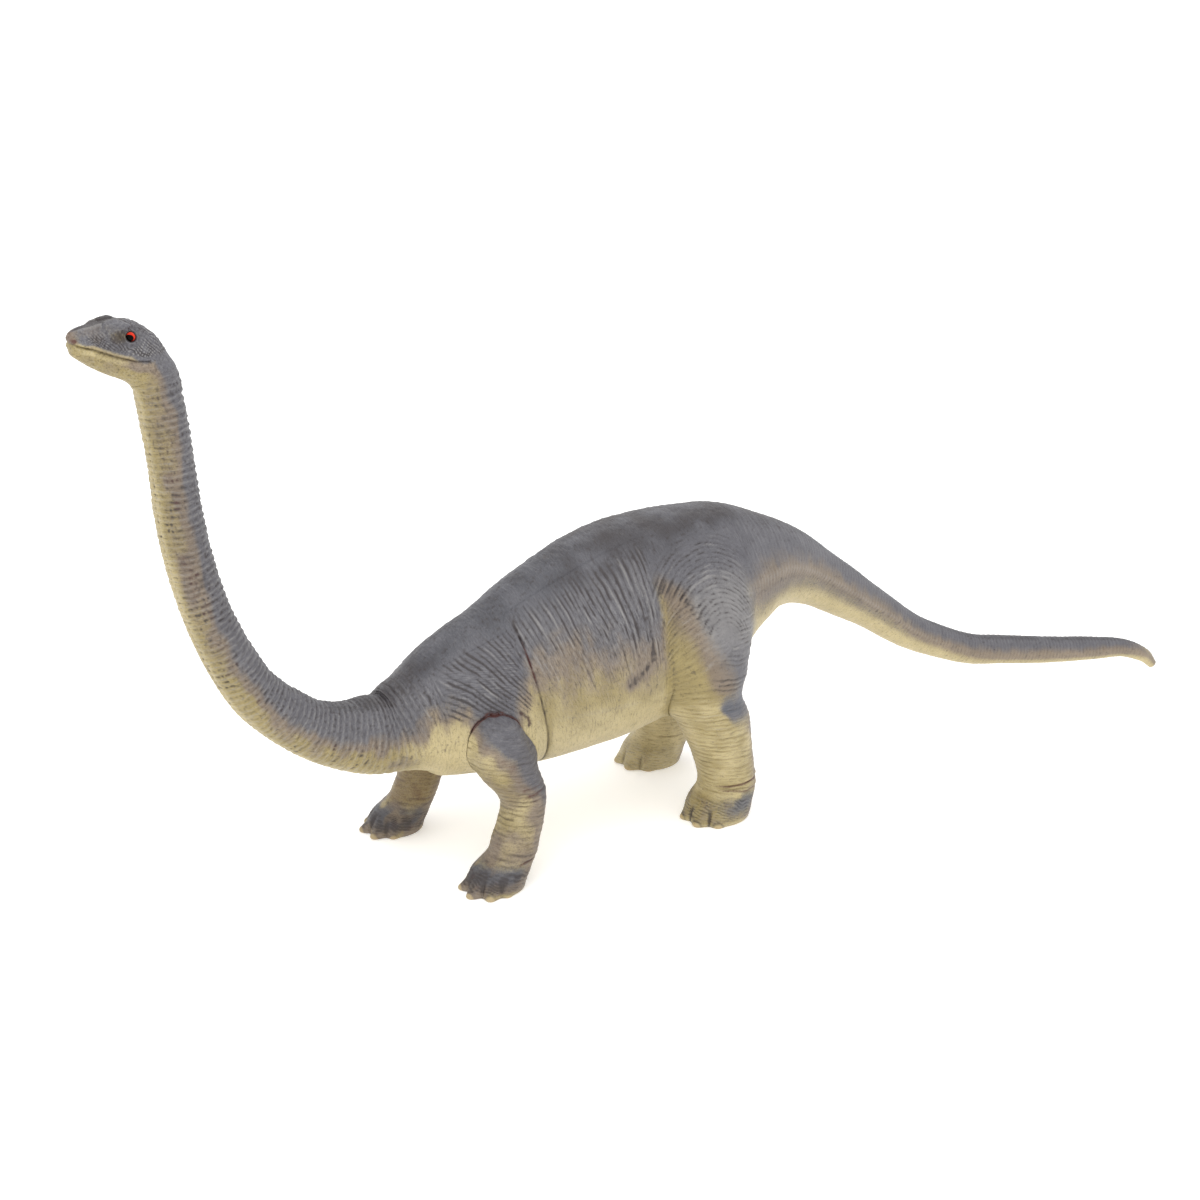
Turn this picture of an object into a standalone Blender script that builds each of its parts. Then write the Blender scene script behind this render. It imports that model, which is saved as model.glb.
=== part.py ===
"""Toy long-necked dinosaur, a standing figure moulded in solid PVC.

The body is one skin, lofted along a line from the neck to the tail and parted at three moulding joins,
each with a round plug and its socket. The legs are four more mouldings, which seat in pockets of the
chest and trunk on pegs. Metres, +Z up, head towards -X, the figure's left side towards -Y, soles on the
ground.
"""

import math
from dataclasses import dataclass

import bmesh
import bpy
from mathutils import Matrix, Vector

# Fits between the mouldings
JOIN_GAP = 0.0003
PLUG_LENGTH = 0.006
PLUG_SHARE = 0.5
PLUG_TAPER_SHARE = 0.85
PEG_RADIUS = 0.003
PEG_LENGTH = 0.004

# Trunk, from the root of the neck to the root of the tail
TRUNK_LENGTH = 0.140
HIP_HEIGHT = 0.105
TRUNK_WIDTH = 0.058

# Neck, from its root to the back of the head
NECK_REACH = 0.0735
NECK_RISE = 0.1215
NECK_ROOT_RADIUS = 0.0175

# Tail, from its root to its tip
TAIL_REACH = 0.168
TAIL_DROP = 0.060
TAIL_SWING = 0.0295
TAIL_ROOT_RADIUS = 0.0184

# Head
HEAD_LENGTH = 0.0315
HEAD_HEIGHT = 0.0165
HEAD_WIDTH = 0.0138
EYE_RADIUS = 0.0014
BROW_LENGTH = 0.0064
BROW_WIDTH = 0.0026
BROW_HEIGHT = 0.0022
MOUTH_GROOVE = 0.0005

# Legs, from the ground to the top of the limb inside the body
FRONT_LEG_HEIGHT = 0.057
FRONT_LEG_THICKNESS = 0.0158
FRONT_TRACK = 0.0525
FRONT_STRIDE = 0.0075
FRONT_SWAY = -0.0020
FRONT_TOE_LENGTH = 0.0082
FRONT_TOE_WIDTH = 0.0054
HIND_LEG_HEIGHT = 0.084
HIND_LEG_THICKNESS = 0.0190
HIND_TRACK = 0.047
HIND_STRIDE = -0.0060
HIND_SWAY = -0.0015
HIND_TOE_LENGTH = 0.0100
HIND_TOE_WIDTH = 0.0066

# How fine the lofts are
RING_STEP = 0.0052
BODY_SIDES = 28
HEAD_SIDES = 32
HEAD_RINGS = 22
LEG_SIDES = 20
LEG_RINGS = 18
ROUND_SIDES = 24
BALL_SIDES = 12
MOUTH_SIDES = 6
MOUTH_RINGS = 26
FEWEST_RINGS = 3
SEARCH_STEPS = 160
SLOPE_SHARE = 0.01
SHARP_ANGLE = math.radians(50)

# Neck sections from the head down: reach, rise, radius
NECK_SHARES = (
    (1.020, 1.010, 0.34),
    (0.998, 0.930, 0.38),
    (0.975, 0.800, 0.375),
    (0.960, 0.665, 0.39),
    (0.932, 0.545, 0.40),
    (0.876, 0.405, 0.405),
    (0.800, 0.285, 0.43),
    (0.700, 0.172, 0.455),
    (0.585, 0.098, 0.485),
    (0.460, 0.038, 0.52),
    (0.345, 0.004, 0.59),
    (0.210, -0.018, 0.70),
    (0.095, -0.022, 0.79),
)
# Trunk sections: place along it, height of the middle, rise above that, fall below it, half width, and how
# much narrower the top is
TRUNK_START_SHARE = -0.43
TRUNK_SHARES = (
    (0.000, 0.485, 0.162, 0.185, 0.300, 0.15),
    (0.120, 0.500, 0.241, 0.217, 0.380, 0.30),
    (0.250, 0.515, 0.310, 0.240, 0.450, 0.28),
    (0.370, 0.535, 0.357, 0.258, 0.490, 0.22),
    (0.500, 0.565, 0.393, 0.280, 0.500, 0.18),
    (0.640, 0.610, 0.388, 0.285, 0.490, 0.15),
    (0.770, 0.665, 0.340, 0.262, 0.440, 0.13),
    (0.890, 0.710, 0.265, 0.205, 0.355, 0.10),
)
# Tail sections: reach, drop, swing to the left, radius
TAIL_SHARES = (
    (0.000, -0.030, 0.000, 0.95),
    (0.076, 0.030, 0.007, 0.715),
    (0.140, 0.123, 0.030, 0.57),
    (0.206, 0.240, 0.068, 0.50),
    (0.278, 0.373, 0.119, 0.425),
    (0.373, 0.560, 0.200, 0.365),
    (0.437, 0.653, 0.260, 0.337),
    (0.537, 0.764, 0.366, 0.310),
    (0.620, 0.804, 0.464, 0.298),
    (0.739, 0.854, 0.617, 0.277),
    (0.862, 0.889, 0.793, 0.240),
    (0.935, 0.914, 0.900, 0.190),
    (0.985, 0.965, 0.975, 0.125),
    (1.000, 0.995, 1.000, 0.050),
)
TAIL_START_SHARE = 0.705
TAIL_FLATNESS_SHARE = 0.92
# The sections where one moulding ends and the next begins, counted in the tables above
NECK_JOIN = len(NECK_SHARES)
CHEST_JOIN = NECK_JOIN + 2
TAIL_JOIN = NECK_JOIN + len(TRUNK_SHARES) + 4

# Head sections from the snout back: place along it, top, bottom, half width. Heights count from the crown
HEAD_SHARES = (
    (0.000, -0.190, -0.330, 0.050),
    (0.018, -0.150, -0.400, 0.130),
    (0.055, -0.100, -0.500, 0.200),
    (0.146, -0.040, -0.665, 0.305),
    (0.273, 0.010, -0.825, 0.377),
    (0.400, 0.035, -0.955, 0.435),
    (0.527, 0.015, -1.080, 0.478),
    (0.654, -0.100, -1.205, 0.500),
    (0.775, -0.290, -1.240, 0.440),
    (0.890, -0.640, -1.300, 0.310),
    (0.960, -0.930, -1.240, 0.160),
)
HEAD_FORWARD_SHARE = 0.79
EYE_SHARES = (0.518, -0.235, 0.385)
BROW_SHARES = (0.420, -0.045, 0.330)
BROW_SLOPE = math.radians(6)
# Mouth line from the snout back: place along the head, height
MOUTH_SHARES = (
    (0.006, -0.262),
    (0.067, -0.320),
    (0.197, -0.394),
    (0.356, -0.540),
    (0.533, -0.642),
    (0.654, -0.673),
)

# Leg sections from the ground up: height in leg heights, then in leg thicknesses forward offset, outward
# offset, half length and half width
FRONT_LEG_SHARES = (
    (-0.032, 0.56, 0.06, 0.58, 0.55),
    (0.037, 0.56, 0.06, 0.62, 0.58),
    (0.096, 0.45, 0.05, 0.61, 0.58),
    (0.187, 0.16, 0.03, 0.51, 0.49),
    (0.268, 0.04, 0.00, 0.50, 0.47),
    (0.353, -0.07, -0.01, 0.48, 0.46),
    (0.460, -0.15, -0.02, 0.46, 0.46),
    (0.535, -0.10, -0.03, 0.51, 0.48),
    (0.650, 0.12, -0.08, 0.61, 0.52),
    (0.780, 0.28, -0.15, 0.69, 0.55),
    (0.885, 0.30, -0.22, 0.66, 0.52),
    (0.960, 0.28, -0.28, 0.50, 0.40),
    (1.000, 0.26, -0.32, 0.24, 0.18),
)
HIND_LEG_SHARES = (
    (-0.022, 0.12, 0.06, 0.56, 0.53),
    (0.025, 0.12, 0.06, 0.61, 0.56),
    (0.070, 0.05, 0.04, 0.61, 0.55),
    (0.120, -0.09, 0.02, 0.55, 0.51),
    (0.167, -0.11, 0.00, 0.53, 0.49),
    (0.280, 0.00, 0.00, 0.57, 0.51),
    (0.360, 0.11, 0.00, 0.63, 0.54),
    (0.440, 0.23, 0.00, 0.66, 0.58),
    (0.530, 0.36, -0.03, 0.70, 0.61),
    (0.620, 0.34, -0.08, 0.82, 0.63),
    (0.770, 0.32, -0.18, 0.92, 0.62),
    (0.870, 0.32, -0.28, 0.88, 0.55),
    (0.950, 0.34, -0.37, 0.68, 0.41),
    (1.000, 0.36, -0.42, 0.30, 0.18),
)
FRONT_LEG_PLACE_SHARE = -0.264
HIND_LEG_PLACE_SHARE = 0.325
PEG_HEIGHT_SHARE = 0.84
FOOT_ROW = 1
# Toes: degrees from straight ahead to the outer side, distance out in leg thicknesses, and size
FRONT_TOE_SHARES = (
    (-58, 0.42, 0.86),
    (-22, 0.50, 1.00),
    (14, 0.52, 1.00),
    (50, 0.47, 0.95),
    (86, 0.40, 0.80),
)
HIND_TOE_SHARES = (
    (-52, 0.46, 0.90),
    (-16, 0.54, 1.05),
    (20, 0.54, 1.00),
    (56, 0.46, 0.90),
)
TOE_HEIGHT_SHARE = 0.95
TOE_RISE_SHARE = 0.10

PAINTS = {
    "neck_and_head": (0.36, 0.33, 0.27),
    "chest": (0.30, 0.27, 0.24),
    "trunk": (0.28, 0.26, 0.25),
    "tail_end": (0.33, 0.31, 0.27),
    "front_leg": (0.33, 0.27, 0.20),
    "hind_leg": (0.36, 0.31, 0.22),
}


def clear_scene():
    for obj in list(bpy.data.objects):
        bpy.data.objects.remove(obj)


def new_collection(name, hidden=False):
    collection = bpy.data.collections.new(name)
    collection.hide_render = hidden
    bpy.context.scene.collection.children.link(collection)
    return collection


def paint(name):
    """Satin paint on PVC, in the main colour of the moulding."""
    material = bpy.data.materials.new(name + "_paint")
    material.use_nodes = True
    shader = material.node_tree.nodes["Principled BSDF"]
    shader.inputs["Base Color"].default_value = (*PAINTS[name], 1)
    shader.inputs["Roughness"].default_value = 0.5
    shader.inputs["Metallic"].default_value = 0
    return material


def add_object(bm, name, collection, root=None):
    mesh = bpy.data.meshes.new(name)
    bmesh.ops.recalc_face_normals(bm, faces=bm.faces)
    bm.to_mesh(mesh)
    bm.free()
    mesh.shade_smooth()
    mesh.set_sharp_from_angle(angle=SHARP_ANGLE)
    obj = bpy.data.objects.new(name, mesh)
    collection.objects.link(obj)
    obj.parent = root
    return obj


def add_helper(bm, name, helpers, root):
    """A solid that only joins or cuts a moulding."""
    obj = add_object(bm, name, helpers, root)
    obj.hide_render = True
    obj.display_type = "WIRE"
    return obj


def boolean(obj, other, operation):
    modifier = obj.modifiers.new(f"{operation.lower()} {other.name}", "BOOLEAN")
    modifier.operation = operation
    modifier.object = other
    modifier.solver = "EXACT"


class Curve:
    """One smooth curve through rows of numbers, read by the length along the first three of them."""

    def __init__(self, rows):
        self.rows = rows
        self.knots = [0.0]
        for a, b in zip(rows, rows[1:]):
            self.knots.append(self.knots[-1] + (Vector(b[:3]) - Vector(a[:3])).length)

    def slope(self, i):
        low, high = max(i - 1, 0), min(i + 1, len(self.rows) - 1)
        span = self.knots[high] - self.knots[low]
        return [(b - a) / span for a, b in zip(self.rows[low], self.rows[high])]

    def at(self, s):
        i = max(k for k in range(len(self.knots) - 1) if k == 0 or self.knots[k] <= s)
        span = self.knots[i + 1] - self.knots[i]
        t = (s - self.knots[i]) / span
        arrive = 3 * t**2 - 2 * t**3
        leave_slope = (t**3 - 2 * t**2 + t) * span
        arrive_slope = (t**3 - t**2) * span
        weights = (1 - arrive, arrive, leave_slope, arrive_slope)
        columns = zip(self.rows[i], self.rows[i + 1], self.slope(i), self.slope(i + 1))
        return [sum(w * c for w, c in zip(weights, column)) for column in columns]

    def direction(self, s):
        step = SLOPE_SHARE * self.knots[-1]
        low, high = max(s - step, 0), min(s + step, self.knots[-1])
        return (Vector(self.at(high)[:3]) - Vector(self.at(low)[:3])).normalized()

    def steps(self, first, last, count):
        start, end = self.knots[first], self.knots[last]
        return [start + (end - start) * n / count for n in range(count + 1)]

    def nearest(self, column, value):
        """The row of the curve whose number in this column is nearest to value."""
        places = self.steps(0, len(self.rows) - 1, SEARCH_STEPS)
        return min((self.at(s) for s in places), key=lambda row: abs(row[column] - value))


def loft(rings):
    """A closed skin through rings of as many points each, with a flat cap on each end."""
    bm = bmesh.new()
    loops = [[bm.verts.new(point) for point in ring] for ring in rings]
    for low, high in zip(loops, loops[1:]):
        for i in range(len(low)):
            j = (i + 1) % len(low)
            bm.faces.new((low[i], low[j], high[j], high[i]))
    bm.faces.new(loops[0])
    bm.faces.new(loops[-1])
    return bm


def oval(sides, centre, across, up, half_width, rise, fall, egg=0):
    """Points round a section, as high as rise above its centre and fall below it. Egg narrows its top."""
    points = []
    for k in range(sides):
        angle = 2 * math.pi * k / sides
        height = math.cos(angle)
        width = half_width * math.sin(angle) * (1 - egg * height)
        points.append(centre + across * width + up * height * (rise if height > 0 else fall))
    return points


def cone(radius, tip_radius, length, frame, inset=0):
    """A round bar along the frame's Z, from inset below its origin up to length."""
    bm = bmesh.new()
    middle = frame @ Matrix.Translation((0, 0, (length - inset) / 2))
    sizes = {"radius1": radius, "radius2": tip_radius, "depth": length + inset}
    bmesh.ops.create_cone(bm, cap_ends=True, segments=ROUND_SIDES, matrix=middle, **sizes)
    return bm


def facing(origin, direction):
    """A frame at origin whose Z runs along direction."""
    return Matrix.Translation(origin) @ direction.to_track_quat("Z", "Y").to_matrix().to_4x4()


def ellipsoid(length, width, height, frame):
    bm = bmesh.new()
    stretch = frame @ Matrix.Diagonal((length / 2, width / 2, height / 2, 1))
    counts = {"u_segments": BALL_SIDES, "v_segments": BALL_SIDES // 2}
    bmesh.ops.create_uvsphere(bm, radius=1, matrix=stretch, **counts)
    return bm


def body_curve():
    """Centre, half width, rise, fall and egg share of the body's sections, from the head to the tail tip."""
    start = TRUNK_START_SHARE * TRUNK_LENGTH
    neck_height = TRUNK_SHARES[0][1] * HIP_HEIGHT
    rows = []
    for reach, rise, radius in NECK_SHARES:
        r = radius * NECK_ROOT_RADIUS
        rows.append((start - reach * NECK_REACH, 0, neck_height + rise * NECK_RISE, r, r, r, 0))
    for place, middle, rise, fall, width, egg in TRUNK_SHARES:
        x = start + place * TRUNK_LENGTH
        sizes = (width * TRUNK_WIDTH, rise * HIP_HEIGHT, fall * HIP_HEIGHT, egg)
        rows.append((x, 0, middle * HIP_HEIGHT, *sizes))
    for reach, drop, swing, radius in TAIL_SHARES:
        r = radius * TAIL_ROOT_RADIUS
        x = start + TRUNK_LENGTH + reach * TAIL_REACH
        z = TAIL_START_SHARE * HIP_HEIGHT - drop * TAIL_DROP
        rows.append((x, -swing * TAIL_SWING, z, TAIL_FLATNESS_SHARE * r, r, r, 0))
    return Curve(rows)


def body_ring(curve, s, shift=0):
    """The body's section at s, square to the curve and moved by shift along it."""
    row = curve.at(s)
    along = curve.direction(s)
    across = (Vector((0, 1, 0)) - along * along.y).normalized()
    return oval(BODY_SIDES, Vector(row[:3]) + along * shift, across, along.cross(across), *row[3:])


def body_piece(curve, first, last):
    """The length of the body between two sections, short of each join by half its gap."""
    ends = (curve.knots[first], curve.knots[last])
    count = max(FEWEST_RINGS, round((ends[1] - ends[0]) / RING_STEP))
    places = curve.steps(first, last, count)
    rings = [body_ring(curve, s) for s in places[1:-1]]
    low = body_ring(curve, ends[0], JOIN_GAP / 2 if first else 0)
    high = body_ring(curve, ends[1], -JOIN_GAP / 2 if last < len(curve.rows) - 1 else 0)
    return loft([low, *rings, high])


def plug_and_socket(curve, join, forwards, holder, taker, helpers, root):
    """A tapered plug on the holder at a join, and its socket in the taker."""
    s = curve.knots[join]
    row = curve.at(s)
    radius = PLUG_SHARE * min(row[3:6])
    frame = facing(Vector(row[:3]), curve.direction(s) * (-1 if forwards else 1))
    tip = radius * PLUG_TAPER_SHARE
    plug = cone(radius, tip, PLUG_LENGTH, frame, PLUG_LENGTH)
    boolean(holder, add_helper(plug, f"{holder.name} plug", helpers, root), "UNION")
    socket = cone(radius + JOIN_GAP, tip + JOIN_GAP, PLUG_LENGTH + JOIN_GAP, frame, PLUG_LENGTH)
    boolean(taker, add_helper(socket, f"{taker.name} socket {join}", helpers, root), "DIFFERENCE")


def head_place():
    """Where the snout is, at the height of the crown."""
    x = TRUNK_START_SHARE * TRUNK_LENGTH - NECK_REACH - HEAD_FORWARD_SHARE * HEAD_LENGTH
    return Vector((x, 0, TRUNK_SHARES[0][1] * HIP_HEIGHT + NECK_RISE + HEAD_HEIGHT))


def head_curve():
    rows = []
    for place, top, bottom, width in HEAD_SHARES:
        middle = (top + bottom) / 2
        half_height = (top - bottom) / 2 * HEAD_HEIGHT
        rows.append((place * HEAD_LENGTH, 0, middle * HEAD_HEIGHT, width * HEAD_WIDTH, half_height))
    return Curve(rows)


def head_form():
    curve = head_curve()
    rings = []
    for s in curve.steps(0, len(curve.rows) - 1, HEAD_RINGS):
        x, _, z, half_width, half_height = curve.at(s)
        sizes = (half_width, half_height, half_height)
        rings.append(oval(HEAD_SIDES, Vector((x, 0, z)), Vector((0, 1, 0)), Vector((0, 0, 1)), *sizes))
    return loft(rings)


def mouth_form():
    """A thin round bar along the mouth line, from one corner round the snout to the other."""
    curve = head_curve()
    side = []
    for place, height in MOUTH_SHARES:
        row = curve.nearest(0, place * HEAD_LENGTH)
        z = height * HEAD_HEIGHT
        depth = 1 - ((z - row[2]) / row[4]) ** 2
        side.append((place * HEAD_LENGTH, row[3] * math.sqrt(max(depth, 0)), z))
    points = [(x, -y, z) for x, y, z in reversed(side)] + side
    path = Curve(points)
    rings = []
    for s in path.steps(0, len(points) - 1, MOUTH_RINGS):
        along = path.direction(s)
        across = along.cross(Vector((0, 0, 1))).normalized()
        sizes = (MOUTH_GROOVE, MOUTH_GROOVE, MOUTH_GROOVE)
        rings.append(oval(MOUTH_SIDES, Vector(path.at(s)), across, across.cross(along), *sizes))
    return loft(rings)


def on_head(shares, side):
    """A spot on the head from its shares: place along the head, height and distance to one side."""
    place, height, out = shares
    return head_place() + Vector((place * HEAD_LENGTH, side * out * HEAD_WIDTH, height * HEAD_HEIGHT))


def add_head(neck, helpers, root):
    head = add_helper(head_form(), "head form", helpers, root)
    head.location = head_place()
    boolean(neck, head, "UNION")
    for side, word in ((-1, "left"), (1, "right")):
        frame = Matrix.Rotation(side * BROW_SLOPE, 4, "Z") @ Matrix.Rotation(BROW_SLOPE, 4, "Y")
        brow = ellipsoid(BROW_LENGTH, BROW_WIDTH, BROW_HEIGHT, frame)
        brow = add_helper(brow, f"{word} brow", helpers, root)
        brow.location = on_head(BROW_SHARES, side)
        boolean(neck, brow, "UNION")
        eye = ellipsoid(2 * EYE_RADIUS, 2 * EYE_RADIUS, 2 * EYE_RADIUS, Matrix())
        eye = add_helper(eye, f"{word} eye", helpers, root)
        eye.location = on_head(EYE_SHARES, side)
        boolean(neck, eye, "UNION")
    mouth = add_helper(mouth_form(), "mouth line", helpers, root)
    mouth.location = head_place()
    boolean(neck, mouth, "DIFFERENCE")


@dataclass
class Leg:
    """What one leg is made from. Its side is -1 on the left and 1 on the right."""

    side: int
    x: float
    y: float
    sections: tuple
    height: float
    thickness: float
    toes: tuple
    toe_length: float
    toe_width: float
    paint: str

    def curve(self):
        """Centre, half length and half width of the sections, from the sole up."""
        rows = []
        for rise, forward, out, half_length, half_width in self.sections:
            centre = (-forward * self.thickness, self.side * out * self.thickness, rise * self.height)
            rows.append((*centre, half_length * self.thickness, half_width * self.thickness))
        return Curve(rows)


def leg_form(curve):
    rings = []
    for s in curve.steps(0, len(curve.rows) - 1, LEG_RINGS):
        x, y, z, half_length, half_width = curve.at(s)
        sizes = (half_length, half_width, half_width)
        rings.append(oval(LEG_SIDES, Vector((x, y, z)), Vector((1, 0, 0)), Vector((0, 1, 0)), *sizes))
    return loft(rings)


def add_toes(leg, design, foot, place, helpers, root):
    """A fan of toes, each an ellipsoid that points its own way from the middle of the foot."""
    for number, (bearing, out, size) in enumerate(design.toes):
        angle = math.radians(180 - design.side * bearing)
        ahead = Vector((math.cos(angle), math.sin(angle), 0))
        width = size * design.toe_width
        height = TOE_HEIGHT_SHARE * width
        spot = Vector((foot[0], foot[1], TOE_RISE_SHARE * height)) + ahead * out * design.thickness
        frame = Matrix.Translation(spot) @ Matrix.Rotation(angle, 4, "Z")
        toe = ellipsoid(size * design.toe_length, width, height, frame)
        toe = add_helper(toe, f"{leg.name} toe {number + 1}", helpers, root)
        toe.location = place
        boolean(leg, toe, "UNION")


def add_leg(name, design, body, figure, helpers, root):
    """One leg moulding with its foot, toes and peg, and its pocket in the body."""
    place = Vector((design.x, design.y, 0))
    curve = design.curve()
    leg = add_object(leg_form(curve), name, figure, root)
    leg.location = place
    leg.data.materials.append(paint(design.paint))
    add_toes(leg, design, curve.at(curve.knots[FOOT_ROW]), place, helpers, root)

    ground = bmesh.new()
    bmesh.ops.create_cube(ground, size=design.height)
    ground = add_helper(ground, f"{name} ground", helpers, root)
    ground.location = place - Vector((0, 0, design.height / 2))
    boolean(leg, ground, "DIFFERENCE")

    peg_row = curve.nearest(2, PEG_HEIGHT_SHARE * design.height)
    inwards = facing(Vector(peg_row[:3]), Vector((0, -design.side, 0)))
    reach = peg_row[4] + PEG_LENGTH
    peg = add_helper(cone(PEG_RADIUS, PEG_RADIUS, reach, inwards), f"{name} peg", helpers, root)
    peg.location = place
    boolean(leg, peg, "UNION")

    pocket = leg_form(curve)
    bmesh.ops.recalc_face_normals(pocket, faces=pocket.faces)
    for vert in pocket.verts:
        vert.co += vert.normal * JOIN_GAP
    pocket = add_helper(pocket, f"{name} pocket", helpers, root)
    pocket.location = place
    boolean(body, pocket, "DIFFERENCE")
    hole = cone(PEG_RADIUS + JOIN_GAP, PEG_RADIUS + JOIN_GAP, reach + JOIN_GAP, inwards)
    hole = add_helper(hole, f"{name} peg hole", helpers, root)
    hole.location = place
    boolean(body, hole, "DIFFERENCE")
    return leg


def front_leg(side, stride):
    x = FRONT_LEG_PLACE_SHARE * TRUNK_LENGTH - stride
    y = FRONT_SWAY + side * FRONT_TRACK / 2
    form = (FRONT_LEG_SHARES, FRONT_LEG_HEIGHT, FRONT_LEG_THICKNESS)
    toes = (FRONT_TOE_SHARES, FRONT_TOE_LENGTH, FRONT_TOE_WIDTH)
    return Leg(side, x, y, *form, *toes, "front_leg")


def hind_leg(side, stride):
    x = HIND_LEG_PLACE_SHARE * TRUNK_LENGTH - stride
    y = HIND_SWAY + side * HIND_TRACK / 2
    form = (HIND_LEG_SHARES, HIND_LEG_HEIGHT, HIND_LEG_THICKNESS)
    toes = (HIND_TOE_SHARES, HIND_TOE_LENGTH, HIND_TOE_WIDTH)
    return Leg(side, x, y, *form, *toes, "hind_leg")


def stand_at_origin(parts, root):
    """Moves the figure so that the origin is under the middle of its bounding box."""
    bpy.context.view_layer.update()
    graph = bpy.context.evaluated_depsgraph_get()
    corners = [obj.matrix_world @ Vector(c) for obj in parts for c in obj.evaluated_get(graph).bound_box]
    for axis in (0, 1):
        values = [corner[axis] for corner in corners]
        root.location[axis] = -(min(values) + max(values)) / 2


def main():
    clear_scene()
    figure = new_collection("toy_dinosaur")
    helpers = new_collection("cutters_and_joined_forms", hidden=True)
    root = bpy.data.objects.new("stand", None)
    figure.objects.link(root)

    curve = body_curve()
    last = len(curve.rows) - 1
    spans = {
        "neck_and_head": (0, NECK_JOIN),
        "chest": (NECK_JOIN, CHEST_JOIN),
        "trunk": (CHEST_JOIN, TAIL_JOIN),
        "tail_end": (TAIL_JOIN, last),
    }
    parts = {}
    for name, span in spans.items():
        parts[name] = add_object(body_piece(curve, *span), name, figure, root)
        parts[name].data.materials.append(paint(name))
    add_head(parts["neck_and_head"], helpers, root)
    plug_and_socket(curve, NECK_JOIN, False, parts["neck_and_head"], parts["chest"], helpers, root)
    plug_and_socket(curve, CHEST_JOIN, False, parts["chest"], parts["trunk"], helpers, root)
    plug_and_socket(curve, TAIL_JOIN, True, parts["tail_end"], parts["trunk"], helpers, root)
    legs = {
        "front_left_leg": (front_leg(-1, 0), "chest"),
        "front_right_leg": (front_leg(1, FRONT_STRIDE), "chest"),
        "hind_left_leg": (hind_leg(-1, 0), "trunk"),
        "hind_right_leg": (hind_leg(1, HIND_STRIDE), "trunk"),
    }
    for name, (design, body) in legs.items():
        parts[name] = add_leg(name, design, parts[body], figure, helpers, root)
    stand_at_origin(list(parts.values()), root)


main()
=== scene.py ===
"""Looks of the toy long-necked dinosaur: a skin with its moulded relief and paint for each moulding.

Every skin is one sheet wrapped round the form that part.py gives the moulding. Where two mouldings meet,
both sheets follow one blended surface and the one that lies deeper sinks below it. Lengths in the forms
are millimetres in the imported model's frame, head towards -X, the figure's left side towards -Y.
"""

import math
from functools import partial
from types import SimpleNamespace

import bmesh
import bpy
import numpy as np
from bpy.props import FloatProperty, FloatVectorProperty, PointerProperty
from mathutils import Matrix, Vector


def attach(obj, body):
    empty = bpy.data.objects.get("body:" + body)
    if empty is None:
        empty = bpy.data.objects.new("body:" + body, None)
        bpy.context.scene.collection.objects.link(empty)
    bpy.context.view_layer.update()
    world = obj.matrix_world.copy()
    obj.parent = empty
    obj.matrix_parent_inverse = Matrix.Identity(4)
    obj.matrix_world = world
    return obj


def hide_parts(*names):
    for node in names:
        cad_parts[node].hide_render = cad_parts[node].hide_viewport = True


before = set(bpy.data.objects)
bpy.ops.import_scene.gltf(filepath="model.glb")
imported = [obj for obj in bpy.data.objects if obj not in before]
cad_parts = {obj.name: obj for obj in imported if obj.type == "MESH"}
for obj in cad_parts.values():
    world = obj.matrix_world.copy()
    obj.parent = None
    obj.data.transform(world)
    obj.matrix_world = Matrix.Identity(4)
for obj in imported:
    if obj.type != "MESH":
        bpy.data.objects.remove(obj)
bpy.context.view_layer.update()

bl_info = {
    "name": "Toy long-necked dinosaur",
    "version": (1, 0, 0),
    "blender": (4, 5, 0),
    "location": "3D View > Sidebar > Dinosaur",
    "description": "Skins, paint and stage for a moulded PVC dinosaur figure",
    "category": "Object",
}

MM = 0.001
# What the camera and the lights are aimed at, in metres
AIM = Vector((-0.06006, -0.0408, 0.095))
# How far part.py moved the figure to stand it over the origin
STAND = np.array((-44.86, 2.0, 0.0))

# Driving sizes as in part.py: where the chest starts, then trunk, neck and tail
CHEST_X = -60.2
TRUNK_LENGTH, TRUNK_WIDTH, HIP_HEIGHT = 140, 58, 105
NECK_REACH, NECK_ROOT, NECK_RISE, NECK_RADIUS = 73.5, 50.925, 121.5, 17.5
TAIL_REACH, TAIL_ROOT, TAIL_DROP, TAIL_SWING, TAIL_RADIUS = 168, 74.025, 60, 29.5, 18.4
# Width of the tail to its height
TAIL_NARROWING = 0.92

# Sections as in part.py, in shares of those sizes. Neck from the head down: reach, rise, radius
NECK = (
    (1.020, 1.010, 0.34),
    (0.998, 0.930, 0.38),
    (0.975, 0.800, 0.375),
    (0.960, 0.665, 0.39),
    (0.932, 0.545, 0.40),
    (0.876, 0.405, 0.405),
    (0.800, 0.285, 0.43),
    (0.700, 0.172, 0.455),
    (0.585, 0.098, 0.485),
    (0.460, 0.038, 0.52),
    (0.345, 0.004, 0.59),
    (0.210, -0.018, 0.70),
    (0.095, -0.022, 0.79),
)
# Trunk: place, height of the middle, rise, fall, half width, how much narrower the top is
TRUNK = (
    (0.000, 0.485, 0.162, 0.185, 0.300, 0.15),
    (0.120, 0.500, 0.241, 0.217, 0.380, 0.30),
    (0.250, 0.515, 0.310, 0.240, 0.450, 0.28),
    (0.370, 0.535, 0.357, 0.258, 0.490, 0.22),
    (0.500, 0.565, 0.393, 0.280, 0.500, 0.18),
    (0.640, 0.610, 0.388, 0.285, 0.490, 0.15),
    (0.770, 0.665, 0.340, 0.262, 0.440, 0.13),
    (0.890, 0.710, 0.265, 0.205, 0.355, 0.10),
)
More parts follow.
